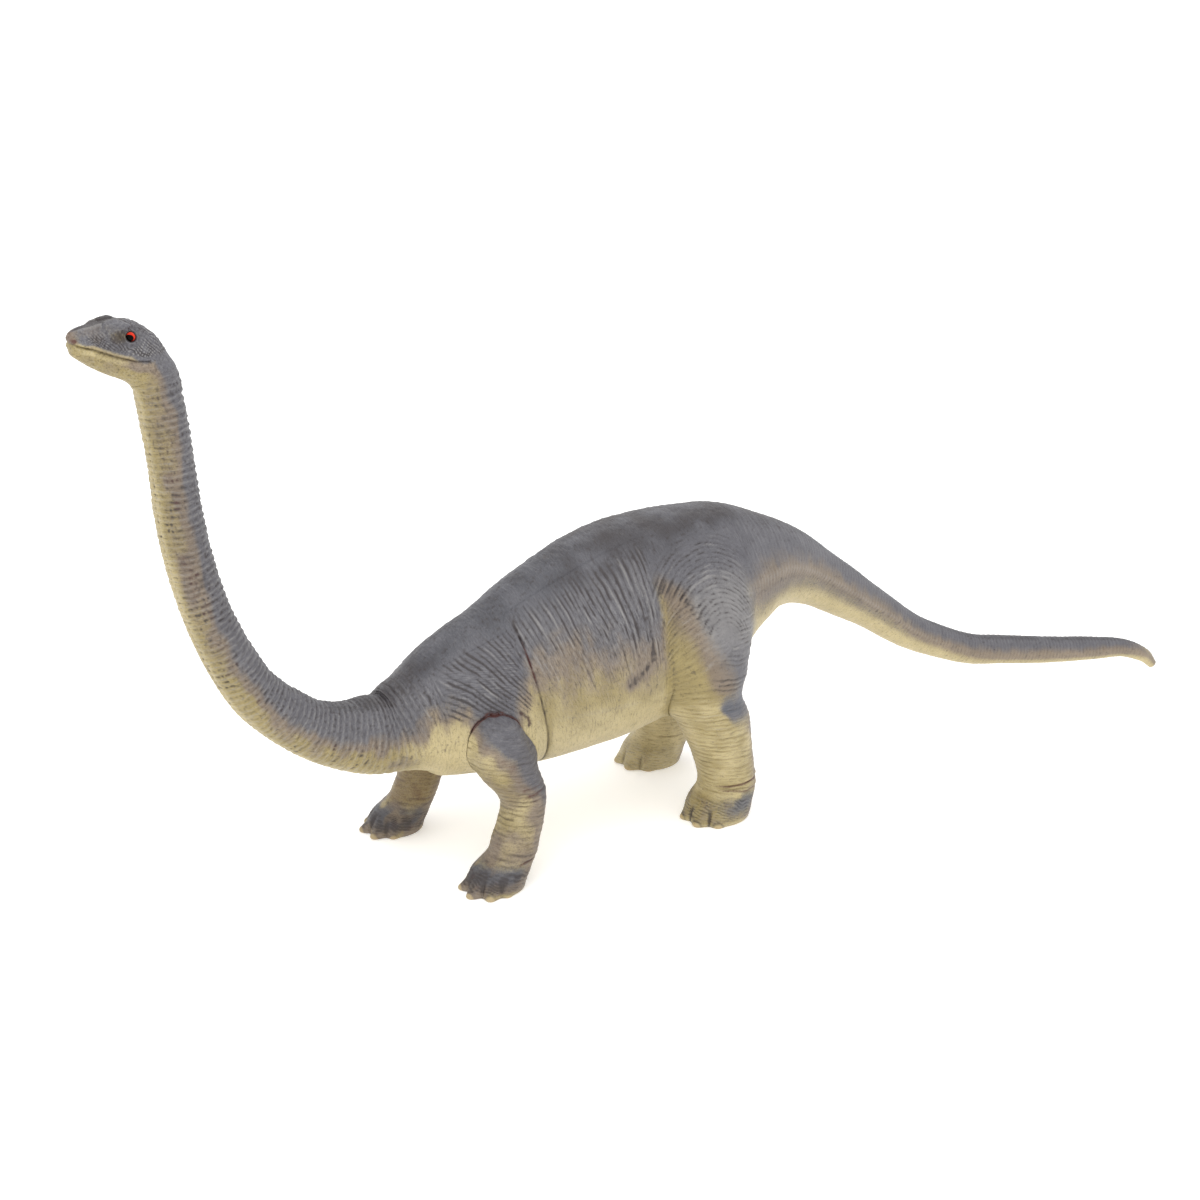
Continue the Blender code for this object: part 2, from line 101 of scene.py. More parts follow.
# Tail: reach, drop, swing to the left, radius
TAIL = (
    (0.000, -0.030, 0.000, 0.95),
    (0.076, 0.030, 0.007, 0.715),
    (0.140, 0.123, 0.030, 0.57),
    (0.206, 0.240, 0.068, 0.50),
    (0.278, 0.373, 0.119, 0.425),
    (0.373, 0.560, 0.200, 0.365),
    (0.437, 0.653, 0.260, 0.337),
    (0.537, 0.764, 0.366, 0.310),
    (0.620, 0.804, 0.464, 0.298),
    (0.739, 0.854, 0.617, 0.277),
    (0.862, 0.889, 0.793, 0.240),
    (0.935, 0.914, 0.900, 0.190),
    (0.992, 0.985, 0.982, 0.150),
    (1.020, 1.060, 1.010, 0.095),
)
NECK_JOIN = len(NECK)
CHEST_JOIN = NECK_JOIN + 2
TAIL_JOIN = NECK_JOIN + len(TRUNK) + 4
# Head from the snout back: place, top, bottom, half width
HEAD = (
    (0.020, -0.165, -0.400, 0.100),
    (0.032, -0.120, -0.490, 0.185),
    (0.062, -0.088, -0.550, 0.235),
    (0.146, -0.040, -0.665, 0.305),
    (0.273, 0.010, -0.825, 0.377),
    (0.400, 0.035, -0.955, 0.435),
    (0.527, 0.015, -1.080, 0.478),
    (0.654, -0.100, -1.205, 0.500),
    (0.775, -0.290, -1.240, 0.440),
    (0.890, -0.640, -1.300, 0.310),
    (0.960, -0.930, -1.240, 0.160),
)
HEAD_PLACE = np.array((-158.585, 0.0, 188.925)) + STAND
HEAD_SIZE = (31.5, 13.8, 16.5)
EYE = (16.3, 5.15, -3.9)
EYE_RADIUS = 1.28
BROW = (13.2, 4.3, -0.9)
# Mouth line, from the snout back: along the head, height
MOUTH = ((0.2, -4.3), (2.4, -5.4), (6.0, -6.5), (11.2, -8.8), (16.8, -10.7), (20.8, -11.1))
# Legs from the ground up: height, forward, outward, half length, half width
FRONT_LEG = (
    (-0.032, 0.56, 0.06, 0.58, 0.55),
    (0.037, 0.56, 0.06, 0.62, 0.58),
    (0.096, 0.45, 0.05, 0.61, 0.58),
    (0.187, 0.16, 0.03, 0.51, 0.49),
    (0.268, 0.04, 0.00, 0.50, 0.47),
    (0.353, -0.07, -0.01, 0.48, 0.46),
    (0.460, -0.15, -0.02, 0.46, 0.46),
    (0.535, -0.10, -0.03, 0.51, 0.48),
    (0.650, 0.12, -0.08, 0.61, 0.52),
    (0.760, 0.23, -0.15, 0.61, 0.55),
    (0.845, 0.27, -0.22, 0.54, 0.52),
    (0.905, 0.26, -0.27, 0.46, 0.44),
    (0.948, 0.25, -0.35, 0.32, 0.31),
    (0.972, 0.25, -0.40, 0.15, 0.14),
)
HIND_LEG = (
    (-0.022, 0.12, 0.06, 0.56, 0.53),
    (0.025, 0.12, 0.06, 0.61, 0.56),
    (0.070, 0.05, 0.04, 0.61, 0.55),
    (0.120, -0.09, 0.02, 0.55, 0.51),
    (0.167, -0.11, 0.00, 0.53, 0.49),
    (0.280, 0.00, 0.00, 0.57, 0.51),
    (0.360, 0.11, 0.00, 0.63, 0.54),
    (0.440, 0.23, 0.00, 0.69, 0.58),
    (0.530, 0.45, -0.03, 0.77, 0.61),
    (0.620, 0.42, -0.08, 0.88, 0.63),
    (0.770, 0.43, -0.18, 1.00, 0.62),
    (0.870, 0.42, -0.28, 0.96, 0.55),
    (0.950, 0.40, -0.37, 0.72, 0.41),
    (1.000, 0.36, -0.42, 0.30, 0.18),
)
# Toes: degrees from straight ahead to the outer side, distance out, size
FRONT_TOES = (
    (-58, 0.42, 0.86),
    (-22, 0.50, 1.00),
    (14, 0.52, 1.00),
    (50, 0.47, 0.95),
    (86, 0.40, 0.80),
)
HIND_TOES = ((-52, 0.40, 0.86), (-16, 0.46, 0.95), (20, 0.46, 0.95), (56, 0.41, 0.88))

# How far down each side the grey coat reaches, in degrees from the back: on the neck by the length from
# its top, then on the trunk and tail by X
NECK_COAT = ((0, 84), (30, 84), (80, 92), (130, 88), (165, 74), (190, 72))
BODY_COAT = (
    *((-130, 72), (-110, 80), (-104, 68), (-95, 70), (-90, 90), (-86, 106), (-80, 104), (-76, 74)),
    *((-72, 54), (-66, 51), (-50, 57), (-42, 63), (-28, 68), (-14, 90), (4, 88), (12, 74)),
    *((30, 68), (60, 64), (100, 68), (158, 76)),
)
# Front edge of the grey on the outside of the thigh: height, X
THIGH_COAT = (
    *((30, 8), (45, 1), (53, -4), (58, -6), (64, -9), (71, -12)),
    *((77, -13), (83, -15), (87, -19), (91, -25)),
)
# Lines scored in front of the thigh: X and height
SCORES = (
    ((-34.6, 76), (-33.6, 71)),
    ((-30.4, 77), (-29.6, 70), (-30.0, 64)),
    ((-30.2, 64.8), (-33.0, 61.4), (-36.5, 59.0), (-39.5, 57.4)),
)
# Coats of paint; the dark wash also lays painted shade in places and the pale dry brush painted highlights.
# Lined isn't one: it says how strongly fine lines along the folds show
COATS = ("grey", "mauve", "olive", "blue", "rust", "wash_and_painted_shade", "dry_brush_and_painted_highlight", "nail", "lined")
# Outer front edge of the grey on a front leg: height, share of the leg's half length
FRONT_COAT = ((24, 0.75), (30, 0.45), (37, 0.12), (44, -0.1), (47, -0.4), (49.5, -0.7), (54, -1.05))
# How far ahead of the left leg the right one stands
FRONT_STRIDE, HIND_STRIDE = 7.5, -6.0
# How the end of a skin rolls in: steps of how far along and how far in
OPEN_RIM = ()
CRISP_RIM = ((0.02, 0.05), (0.04, 0.2))
SEAM_RIM = ((0.06, 0.16), (0.08, 0.5))
SOLE_RIM = ((0.0, 0.4), (0.0, 2.5))
TIP_RIM = ((0.15, 0.25),)
# A sheet is settled in so many steps, each this share of the distance left
SETTLE_STEPS, SETTLE_SHARE = 14, 0.85
# Distance that stands for nothing near
FAR_OFF = 1e3
# Length of the body that the head can touch, and how wide head and neck blend and fade into each other
NECK_TOP = (0, 60)
HEAD_REACH, HEAD_FADE = 3.0, 2.5
# Edges that turn by more than this, in radians, stay crisp
CRISP_ANGLE = 1.05


def unit(vectors):
    """Vectors scaled to a length of 1."""
    return vectors / np.linalg.norm(vectors, axis=-1, keepdims=True)


def smooth(value, low, high):
    """0 up to low, 1 from high, and a soft step between. The two may be either way round."""
    t = np.clip((value - low) / (high - low), 0, 1)
    return t * t * (3 - 2 * t)


def bump(value, middle, width):
    """A bell: 1 at the middle, 0.37 at the width from it."""
    return np.exp(-(((value - middle) / width) ** 2))


def soft_min(a, b, reach):
    """The smaller of two distances, rounded over where they are within reach of each other."""
    near = np.clip(1 - np.abs(a - b) / reach, 0, 1)
    return np.minimum(a, b) - near**2 * reach / 4


def noise(points, scale, seed):
    """Smooth random hills between -1 and 1, scale apart. The same points always give the same hills."""
    places = points / np.asarray(scale, float) + 19.7 * seed
    cell = np.floor(places).astype(np.int64)
    part = places - cell
    part = part * part * (3 - 2 * part)
    total = np.zeros(points.shape[:-1])
    for corner in range(8):
        step = np.array((corner & 1, corner >> 1 & 1, corner >> 2))
        mixed = ((cell + step) * np.array((374761393, 668265263, 1440662683))).sum(axis=-1) & 0xFFFFFFFF
        mixed = ((mixed ^ (mixed >> 13)) * 1274126177) & 0xFFFFFFFF
        mixed = (mixed ^ (mixed >> 16)) & 0xFFFFFF
        total += mixed / 0xFFFFFF * np.where(step, part, 1 - part).prod(axis=-1)
    return 2 * total - 1


def fold(phase, width):
    """Rounded crests with a sharp valley at each whole number: height from 0 to 1, and the valley."""
    away = np.abs(phase - np.round(phase))
    return np.sin(np.pi * away) ** 0.7, np.exp(-((away / width) ** 2))


def stroke(x, z, line):
    """Distance from points in the side view to a broken line."""
    best = np.full(x.shape, 1e9)
    for (ax, az), (bx, bz) in zip(line, line[1:]):
        length = (bx - ax) ** 2 + (bz - az) ** 2
        t = np.clip(((x - ax) * (bx - ax) + (z - az) * (bz - az)) / length, 0, 1)
        best = np.minimum(best, np.hypot(x - ax - t * (bx - ax), z - az - t * (bz - az)))
    return best


def table(value, rows):
    """Value looked up between rows of two numbers."""
    return np.interp(value, [row[0] for row in rows], [row[1] for row in rows])


class Curve:
    """One smooth curve through rows of numbers, read by the length along the first three of them."""

    def __init__(self, rows):
        self.rows = np.array(rows, float)
        steps = np.linalg.norm(np.diff(self.rows[:, :3], axis=0), axis=1)
        self.knots = np.concatenate([[0], np.cumsum(steps)])
        order = np.arange(len(rows))
        low, high = np.maximum(order - 1, 0), np.minimum(order + 1, len(rows) - 1)
        spans = (self.knots[high] - self.knots[low])[:, None]
        self.slopes = (self.rows[high] - self.rows[low]) / spans

    def at(self, s):
        """Rows of the curve at these lengths."""
        i = np.clip(np.searchsorted(self.knots, s, side="right") - 1, 0, len(self.knots) - 2)
        span = (self.knots[i + 1] - self.knots[i])[:, None]
        t = (s - self.knots[i])[:, None] / span
        arrive = 3 * t**2 - 2 * t**3
        leaving = (t**3 - 2 * t**2 + t) * span * self.slopes[i]
        arriving = (t**3 - t**2) * span * self.slopes[i + 1]
        return (1 - arrive) * self.rows[i] + arrive * self.rows[i + 1] + leaving + arriving


def body_rows():
    """Sections of the whole body in one row of places: X, Y, Z, half width, rise, fall, egg shape."""
    rows = []
    for reach, rise, radius in NECK:
        r = radius * NECK_RADIUS
        x, z = CHEST_X - reach * NECK_REACH, NECK_ROOT + rise * NECK_RISE
        rows.append((x, 0, z, r, r, r, 0))
    for place, middle, rise, fall, width, egg in TRUNK:
        sizes = (width * TRUNK_WIDTH, rise * HIP_HEIGHT, fall * HIP_HEIGHT, egg)
        rows.append((CHEST_X + place * TRUNK_LENGTH, 0, middle * HIP_HEIGHT, *sizes))
    for reach, drop, swing, radius in TAIL:
        r = radius * TAIL_RADIUS
        x, z = CHEST_X + TRUNK_LENGTH + reach * TAIL_REACH, TAIL_ROOT - drop * TAIL_DROP
        rows.append((x, -swing * TAIL_SWING, z, TAIL_NARROWING * r, r, r, 0))
    rows = np.array(rows)
    rows[:, :3] += STAND
    return rows


class Body:
    """The body's form, by the length along it and the angle round it: 0 on the back, positive right."""

    COUNT = 1200
    ANGLES = 360

    def __init__(self):
        curve = Curve(body_rows())
        self.knots = curve.knots
        self.s = np.linspace(0, curve.knots[-1], self.COUNT)
        sections = curve.at(self.s)
        self.centre = sections[:, :3]
        step = 0.01 * curve.knots[-1]
        ahead = curve.at(np.minimum(self.s + step, self.s[-1]))[:, :3]
        self.along = unit(ahead - curve.at(np.maximum(self.s - step, 0))[:, :3])
        self.across = unit(np.array((0, 1, 0)) - self.along * self.along[:, 1:2])
        self.up = np.cross(self.along, self.across)
        turn = np.linspace(-np.pi, np.pi, 2 * self.ANGLES + 1)
        even = np.linspace(-np.pi, np.pi, self.ANGLES + 1)
        self.radii = np.empty((self.COUNT, self.ANGLES + 1))
        for i, (width, rise, fall, egg) in enumerate(sections[:, 3:]):
            high = np.cos(turn)
            sideways = width * np.sin(turn) * (1 - egg * high)
            upwards = high * np.where(high > 0, rise, fall)
            angle = np.arctan2(sideways, upwards)
            angle[0], angle[-1] = -np.pi, np.pi
            self.radii[i] = np.interp(even, angle, np.hypot(sideways, upwards))

    def between(self, values, s):
        """Values at the length s, between the two nearest that are kept."""
        place = np.clip(s / self.s[1], 0, self.COUNT - 1.001)
        i = place.astype(int)
        part = (place - i)[..., None]
        return values[i] * (1 - part) + values[i + 1] * part

    def radius(self, s, angle):
        """Distance from the middle of the body to its surface."""
        row = np.clip(s / self.s[1], 0, self.COUNT - 1.001)
        column = np.clip((angle + np.pi) / (2 * np.pi) * self.ANGLES, 0, self.ANGLES - 0.001)
        i, j = row.astype(int), column.astype(int)
        u, v = row - i, column - j
        low = self.radii[i, j] * (1 - v) + self.radii[i, j + 1] * v
        high = self.radii[i + 1, j] * (1 - v) + self.radii[i + 1, j + 1] * v
        return low * (1 - u) + high * u

    def place(self, s, angle):
        """Points of the form, and the way out from its middle there."""
        across, up = self.between(self.across, s), self.between(self.up, s)
        outward = unit(across * np.sin(angle)[..., None] + up * np.cos(angle)[..., None])
        return self.between(self.centre, s) + outward * self.radius(s, angle)[..., None], outward

    def coords(self, points, first=0.0, last=1e9):
        """Length along, angle round, and distance outside the form, looked up between two lengths."""
        low = np.searchsorted(self.s, first)
        high = min(np.searchsorted(self.s, last), self.COUNT)
        flat = points.reshape(-1, 3)
        centre, along = self.centre[low:high], self.along[low:high]
        nearest = np.empty(len(flat), int)
        for start in range(0, len(flat), 8000):
            block = flat[start : start + 8000]
            gaps = (centre**2).sum(axis=1) - 2 * block @ centre.T
            nearest[start : start + 8000] = gaps.argmin(axis=1)
        ahead = ((flat - centre[nearest]) * along[nearest]).sum(axis=1)
        s = self.s[low + nearest] + np.clip(ahead, -0.5, 0.5)
        offset = flat - self.between(self.centre, s)
        sideways = (offset * self.between(self.across, s)).sum(axis=1)
        upwards = (offset * self.between(self.up, s)).sum(axis=1)
        angle = np.arctan2(sideways, upwards)
        outside = np.hypot(sideways, upwards) - self.radius(s, angle)
        past = np.maximum(np.abs(ahead) - 0.5, 0)
        outside = np.where(past > 0, np.hypot(np.maximum(outside, 0), past), outside)
        shape = points.shape[:-1]
        return s.reshape(shape), angle.reshape(shape), outside.reshape(shape)


class Lump:
    """An ellipsoid that points its own way in the ground plane."""

    def __init__(self, centre, heading, radii, tilt=0.0):
        self.centre = np.array(centre)
        level = np.array((math.cos(heading), math.sin(heading), 0))
        side = np.array((-level[1], level[0], 0))
        ahead = level * math.cos(tilt) + np.array((0, 0, 1)) * math.sin(tilt)
        self.axes = np.array((ahead, side, np.cross(ahead, side)))
        self.radii = np.array(radii)

    def field(self, points):
        """Distance outside the lump, about right near its surface."""
        offset = points - self.centre
        share = np.linalg.norm(offset @ self.axes.T / self.radii, axis=-1) + 1e-6
        return np.linalg.norm(offset, axis=-1) * (1 - 1 / share)


class Limb:
    """One leg's form. Its side is -1 on the left and 1 on the right."""

    def __init__(self, side, x, y, sections, height, thickness, toes, toe_size, nail):
        self.side = side
        rows = []
        for rise, forward, out, half_length, half_width in sections:
            sizes = (half_length * thickness, half_width * thickness)
            rows.append((x - forward * thickness, y + side * out * thickness, rise * height, *sizes))
        curve = Curve(rows)
        dense = curve.at(np.linspace(0, curve.knots[-1], 500))
        dense[:, :2] += STAND[:2]
        self.shape = dense[np.argsort(dense[:, 2])]
        self.top = self.shape[-1, 2]
        foot = curve.rows[1, :2] + STAND[:2]
        self.toes, self.nails = [], []
        for bearing, out, size in toes:
            angle = math.radians(180 - side * bearing)
            ahead = np.array((math.cos(angle), math.sin(angle)))
            width = size * toe_size[1]
            high = 0.95 * width
            spot = foot + ahead * out * thickness
            half = (size * toe_size[0] / 2, width / 2, high / 2)
            self.toes.append(Lump((*spot, 0.10 * high), angle, half))
            tip = spot + ahead * (half[0] - 0.42 * nail[0])
            sizes = (nail[0] * size / 2, nail[1] * size / 2, nail[2] * size / 2)
            self.nails.append(Lump((*tip, 0.16 * nail[2]), angle, sizes, -0.25))

    def section(self, z):
        """Middle in X and Y, half length and half width at a height."""
        z = np.clip(z, self.shape[0, 2], self.shape[-1, 2])
        return [np.interp(z, self.shape[:, 2], self.shape[:, k]) for k in (0, 1, 3, 4)]

    def shank(self, points):
        """Distance outside the leg without its toes."""
        x, y, a, b = self.section(points[..., 2])
        dx, dy = points[..., 0] - x, points[..., 1] - y
        share = np.hypot(dx / a, dy / b) + 1e-6
        field = np.hypot(dx, dy) * (1 - 1 / share)
        above = np.maximum(points[..., 2] - self.top, 0)
        return np.where(above > 0, np.hypot(np.maximum(field, 0), above), field)

    def field(self, points):
        """Distance outside the leg and its toes."""
        result = self.shank(points)
        if points[..., 2].min() > 12:
            return result
        for toe in self.toes:
            result = soft_min(result, toe.field(points), 1.3)
        for nail in self.nails:
            result = soft_min(result, nail.field(points), 0.35)
        return result

    def place(self, z, turn):
        """Points of the shank, and the way out from its middle there. Turn is 0 at the back."""
        x, y, a, b = self.section(z)
        outward = np.stack([a * np.cos(turn), self.side * b * np.sin(turn), 0 * turn], axis=-1)
        return np.stack([x, y, z], axis=-1) + outward, unit(outward)

    def toe_gap(self, points):
        """0 in the crease between two toes, growing away from it, and the distance to the nearest nail."""
        fields = np.sort([toe.field(points) for toe in self.toes], axis=0)
        nails = np.min([nail.field(points) for nail in self.nails], axis=0)
        return fields[1] - fields[0], nails


def front_leg(side, stride):
    """A front leg, with its shoulder a stride ahead."""
    x, y = -36.96 - stride, -2.0 + side * 26.25
    return Limb(side, x, y, FRONT_LEG, 57, 15.8, FRONT_TOES, (8.2, 5.4), (2.6, 2.9, 2.6))


def hind_leg(side, stride):
    """A hind leg, with its hip a stride ahead."""
    x, y = 45.5 - stride, -1.5 + side * 23.5
    return Limb(side, x, y, HIND_LEG, 84, 19.0, HIND_TOES, (9.4, 6.8), (2.7, 3.2, 2.8))


class Head:
    """The head's form: its sections stand square to the length of the head."""

    def __init__(self):
        rows = []
        for place, top, bottom, width in HEAD:
            middle, half = (top + bottom) / 2 * HEAD_SIZE[2], (top - bottom) / 2 * HEAD_SIZE[2]
            rows.append((place * HEAD_SIZE[0], 0, middle, width * HEAD_SIZE[1], half))
        curve = Curve(rows)
        self.shape = curve.at(np.linspace(0, curve.knots[-1], 300))
        self.start, self.length = self.shape[0, 0], self.shape[-1, 0]
        self.brows = []
        for side in (-1, 1):
            spot = HEAD_PLACE + np.array((BROW[0], side * BROW[1], BROW[2]))
            self.brows.append(Lump(spot, side * math.radians(6), (3.4, 1.15, 1.0), -math.radians(4)))

    def section(self, x):
        """Height of the middle, half width and half height at a length from the snout."""
        x = np.clip(x, 0, self.length)
        return [np.interp(x, self.shape[:, 0], self.shape[:, k]) for k in (2, 3, 4)]

    def field(self, points):
        """Distance outside the head and its brows."""
        local = points - HEAD_PLACE
        middle, a, b = self.section(local[..., 0])
        dy, dz = local[..., 1], local[..., 2] - middle
        share = np.hypot(dy / a, dz / b) + 1e-6
        result = np.hypot(dy, dz) * (1 - 1 / share)
        past = np.maximum(np.maximum(self.start - local[..., 0], local[..., 0] - self.length), 0)
        result = np.where(past > 0, np.hypot(np.maximum(result, 0), past), result)
        for brow in self.brows:
            result = soft_min(result, brow.field(points), 1.6)
        return result

    def place(self, x, turn):
        """Points of the head, and the way out from its middle there. Turn is 0 on the crown."""
        middle, a, b = self.section(x)
        outward = np.stack([0 * turn, a * np.sin(turn), b * np.cos(turn)], axis=-1)
        centre = np.stack([x, 0 * x, middle], axis=-1) + HEAD_PLACE
        return centre + outward, unit(outward)


BODY = Body()
HEAD_FORM = Head()
FRONT_LEGS = {"left": front_leg(-1, 0), "right": front_leg(1, FRONT_STRIDE)}
HIND_LEGS = {"left": hind_leg(-1, 0), "right": hind_leg(1, HIND_STRIDE)}


def without_stride(points, stride):
    """X of points as if the right leg of a pair stood where the left one does."""
    return points[..., 0] + np.where(points[..., 1] > STAND[1], stride, 0)


def leg_reach(points, front):
    """How wide the blend between a leg and the body is: tight at the arc over a front leg and at the front
    of a thigh, wide over the hip and behind it."""
    z = points[..., 2]
    if front:
        x = without_stride(points, FRONT_STRIDE)
        return 0.8 + 6.5 * np.maximum(smooth(z, 52, 43), 0.8 * smooth(x, -88, -95))
    x = without_stride(points, HIND_STRIDE)
    wide = np.maximum(smooth(x, -20, -6), 0.9 * smooth(z, 76, 88))
    return 1.2 + 6.8 * np.maximum(wide, 0.45 * smooth(z, 56, 46))


def no_paint(shape):
    """An empty layer for each coat of paint."""
    return SimpleNamespace(**{name: np.zeros(shape) for name in COATS})


def mix(a, b, share):
    """One skin's relief and paints where share is 0, the other's where it is 1."""
    paints = no_paint(share.shape)
    for name in COATS:
        setattr(paints, name, getattr(a[1], name) * (1 - share) + getattr(b[1], name) * share)
    paints.flow = np.where((share > 0.5)[..., None], b[1].flow, a[1].flow)
    return a[0] * (1 - share) + b[0] * share, paints


def ring_skin(points, s, angle, pitch, depth):
    """Skin rings as on the neck: rounded bands parted by broken grooves with small pits in them."""
    phase = s / pitch + 0.24 * noise(points, 5.5, 1) + 0.14 * noise(points, 1.7, 2)
    crest, valley = fold(phase, 0.17)
    around = np.abs(angle) * BODY.radius(s, angle)
    spots = np.stack([np.round(phase) * 5.3, around, 0 * angle], axis=-1)
    dash = 0.5 + 0.5 * noise(spots, (1, 0.65, 1), 3)
    patch = smooth(noise(points, (4, 4, 7), 81), 0.15, 0.75)
    pit = valley * smooth(dash, 0.45, 0.70)
    beads = noise(np.stack([s / pitch, around, 0 * angle], axis=-1), (0.5, 0.75, 1), 4)
    height = depth * ((crest - 0.62) * (0.45 + 0.5 * dash) - (0.2 + 0.45 * patch) * pit + 0.30 * beads)
    dark = 0.42 * valley * dash + pit * (0.08 + 0.65 * patch) + 0.25 * smooth(beads, -0.3, -0.8)
    return height, dark, smooth(crest, 0.75, 1) * (0.3 + 0.7 * dash)


def folds(phase, along, pitch, seed, breaks, kept):
    """Folds a pitch apart, each its own height, that break up along their length: their height, valleys
    and crests. Kept makes them break less."""
    across = np.stack([phase * pitch, along, 0 * along], axis=-1)
    broken = smooth(noise(across, (*breaks, 1), seed) + kept, -0.55, 0.35)
    rise, valley = fold(phase, 0.18)
    own = np.stack([np.floor(phase) * 7.3, along, 0 * along], axis=-1)
    nearest = np.stack([np.round(phase) * 7.3, along, 0 * along], axis=-1)
    each = 0.8 + 0.35 * noise(own, (1, 6, 1), seed + 50)
    dark = 0.45 + 1.0 * smooth(noise(nearest, (1, 3.5, 1), seed + 60), -0.4, 0.5)
    fine = noise(across, (0.8, 4.0, 1), seed + 100)
    height = broken * (rise * each - 0.55) + 0.20 * fine
    return height, broken * valley * dark, broken * smooth(rise * each, 0.8, 1) + 0.3 * fine


def body_skin(points, s, angle):
    """The relief on neck, trunk and tail, and on what of the legs runs on from them."""
    relief = bpy.context.scene.dinosaur_relief
    x, y, z = np.moveaxis(points, -1, 0)
    fan_x, hip_x = without_stride(points, FRONT_STRIDE), without_stride(points, HIND_STRIDE)
    side = np.abs(angle)
    paints, hills = no_paint(x.shape), partial(noise, points)
    paints.flow = np.stack([s, side * BODY.radius(s, angle), 0 * s], axis=-1)
    back = 1 - smooth(side, 0.20, 0.50)
    neck = 1 - smooth(x, -113, -100)
    tail = smooth(x, 6, 22)
    middle = (1 - neck) * (1 - tail)
    depth = relief.fold_depth / MM
    paints.lined = middle * (0.45 + 0.5 * smooth(z, 56, 68)) + 0.5 * neck + 0.25 * tail

    def turn_flow(where, across, along):
        """Turns the fine lines where a set of folds takes over, and leaves none at its edge."""
        paints.lined *= smooth(np.abs(where - 0.4), 0.0, 0.3)
        turned = np.stack([across, along, 0 * along], axis=-1)
        paints.flow = np.where((where > 0.4)[..., None], turned, paints.flow)

    def lay(where, work, strength, dark, light=1.0):
        """Adds one set of folds where it belongs."""
        paints.wash_and_painted_shade += where * dark * work[1]
        paints.dry_brush_and_painted_highlight += where * light * np.maximum(work[2], 0)
        return where * strength * work[0]

    # Neck rings, a row of low scales down the back of the neck, and a line on each side of the throat
    sizes = relief.ring_pitch / MM, relief.ring_depth / MM
    height, groove, crest = ring_skin(points, s, angle, *sizes)
    height = neck * height
    paints.wash_and_painted_shade += neck * groove * 0.85
    paints.dry_brush_and_painted_highlight += neck * crest * 0.7
    scale = (s / 2.45) % 1
    scales = bump(side, 0, 0.42 + 0.2 * smooth(s, 60, 20)) * (scale**1.4 - 0.45)
    height += neck * 0.6 * scales
    paints.wash_and_painted_shade += 0.7 * neck * bump(side, 0, 0.6) * smooth(scale, 0.25, 0.0)
    throat = bump(side, 2.93, 0.06) * smooth(s, 8, 20) * smooth(x, -140, -155)
    height -= 0.26 * throat
    paints.wash_and_painted_shade += 1.2 * throat * groove

    # Folds that fan over the shoulder, towards a point behind and below the front leg
    pole = np.hypot(fan_x + 52, z - 33)
    bearing = np.degrees(np.arctan2(z - 33, -(fan_x + 52)))
    phase = bearing / 1.9 + 0.40 * hills(9, 6) + 0.12 * hills(3, 7)
    here = middle * smooth(fan_x, -104, -94) * smooth(x, -72.0, -75.0)
    here = here * smooth(z, 53, 57) * smooth(side, 0.36, 0.60)
    height += lay(here, folds(phase, pole, 1.6, 8, (1.5, 8), 0.35), depth, 1.3, 0.9)
    turn_flow(here, np.radians(bearing) * pole, pole)

    # The end of the crease over the front leg, behind the leg
    hook = stroke(fan_x, z, ((-77.6, 54.8), (-75.5, 53.0), (-75.2, 51.4), (-75.6, 50.6)))
    hook = bump(hook, 0, 0.55) * middle * smooth(side, 1.0, 1.3) * (0.9 + 0.4 * hills(1.3, 98))
    height -= 0.3 * hook
    paints.rust += 0.6 * hook
    paints.wash_and_painted_shade += 0.9 * hook

    # Finer upright folds on the side of the chest, between the neck rings and the fan
    phase = (x + 0.25 * (z - 60)) / 1.7 + 0.35 * hills(6, 90) + 0.2 * hills(2, 91)
    here = middle * smooth(fan_x, -96, -104) * smooth(side, 0.5, 0.8) * smooth(z, 48, 58)
    height += lay(here, folds(phase, z, 1.7, 92, (1.4, 5), -0.1), 0.55 * depth, 0.7)

    # Long steep folds down the flank, breaking up towards the belly
    lean = 0.30 - 0.25 * smooth(x, -50, -28)
    across = x + lean * (z - 68)
    phase = across / 1.62 + 0.30 * hills((8, 8, 18), 9) + 0.12 * hills((2.6, 2.6, 8), 10)
    flank = middle * smooth(x, -75.0, -72.0) * smooth(hip_x, -24.6, -26.6) * smooth(side, 0.26, 0.52)
    here = flank * smooth(z, 54, 70) * (0.7 + 0.3 * smooth(x, -64, -54))
    kept = 0.9 * smooth(z, 62, 84) - 0.25
    height += lay(here, folds(phase, z, 1.62, 11, (1.5, 8), kept), 0.72 * depth, 0.85, 0.75)
    paints.dry_brush_and_painted_highlight += 0.26 * flank
    turn_flow(middle * smooth(x, -77, -73) * smooth(hip_x, -22, -25) * smooth(side, 0.2, 0.4), across, z)

    # Fine upright wrinkles under the belly and chest, and the soft edge between belly and side
    phase = x / 1.15 + 0.9 * hills((5, 5, 9), 12) + 0.3 * hills(1.6, 13)
    rise, valley = fold(phase, 0.2)
    patch = 0.15 + 0.85 * smooth(hills((2, 3, 3.5), 14), -0.3, 0.6)
    here = (middle * smooth(hip_x, -25, -28) + 0.35 * tail) * smooth(z, 68, 57) * patch * smooth(x, 14, -10)
    height += here * relief.wrinkle_depth / MM * (rise - 0.6)
    paints.wash_and_painted_shade += here * valley * (0.4 + 0.3 * smooth(z, 56, 63))
    edge = bump(z + 0.02 * x, 49.6, 0.7) * smooth(x, -70, -62) * smooth(x, -30, -38)
    height -= 0.12 * edge
    paints.dry_brush_and_painted_highlight += 0.12 * edge

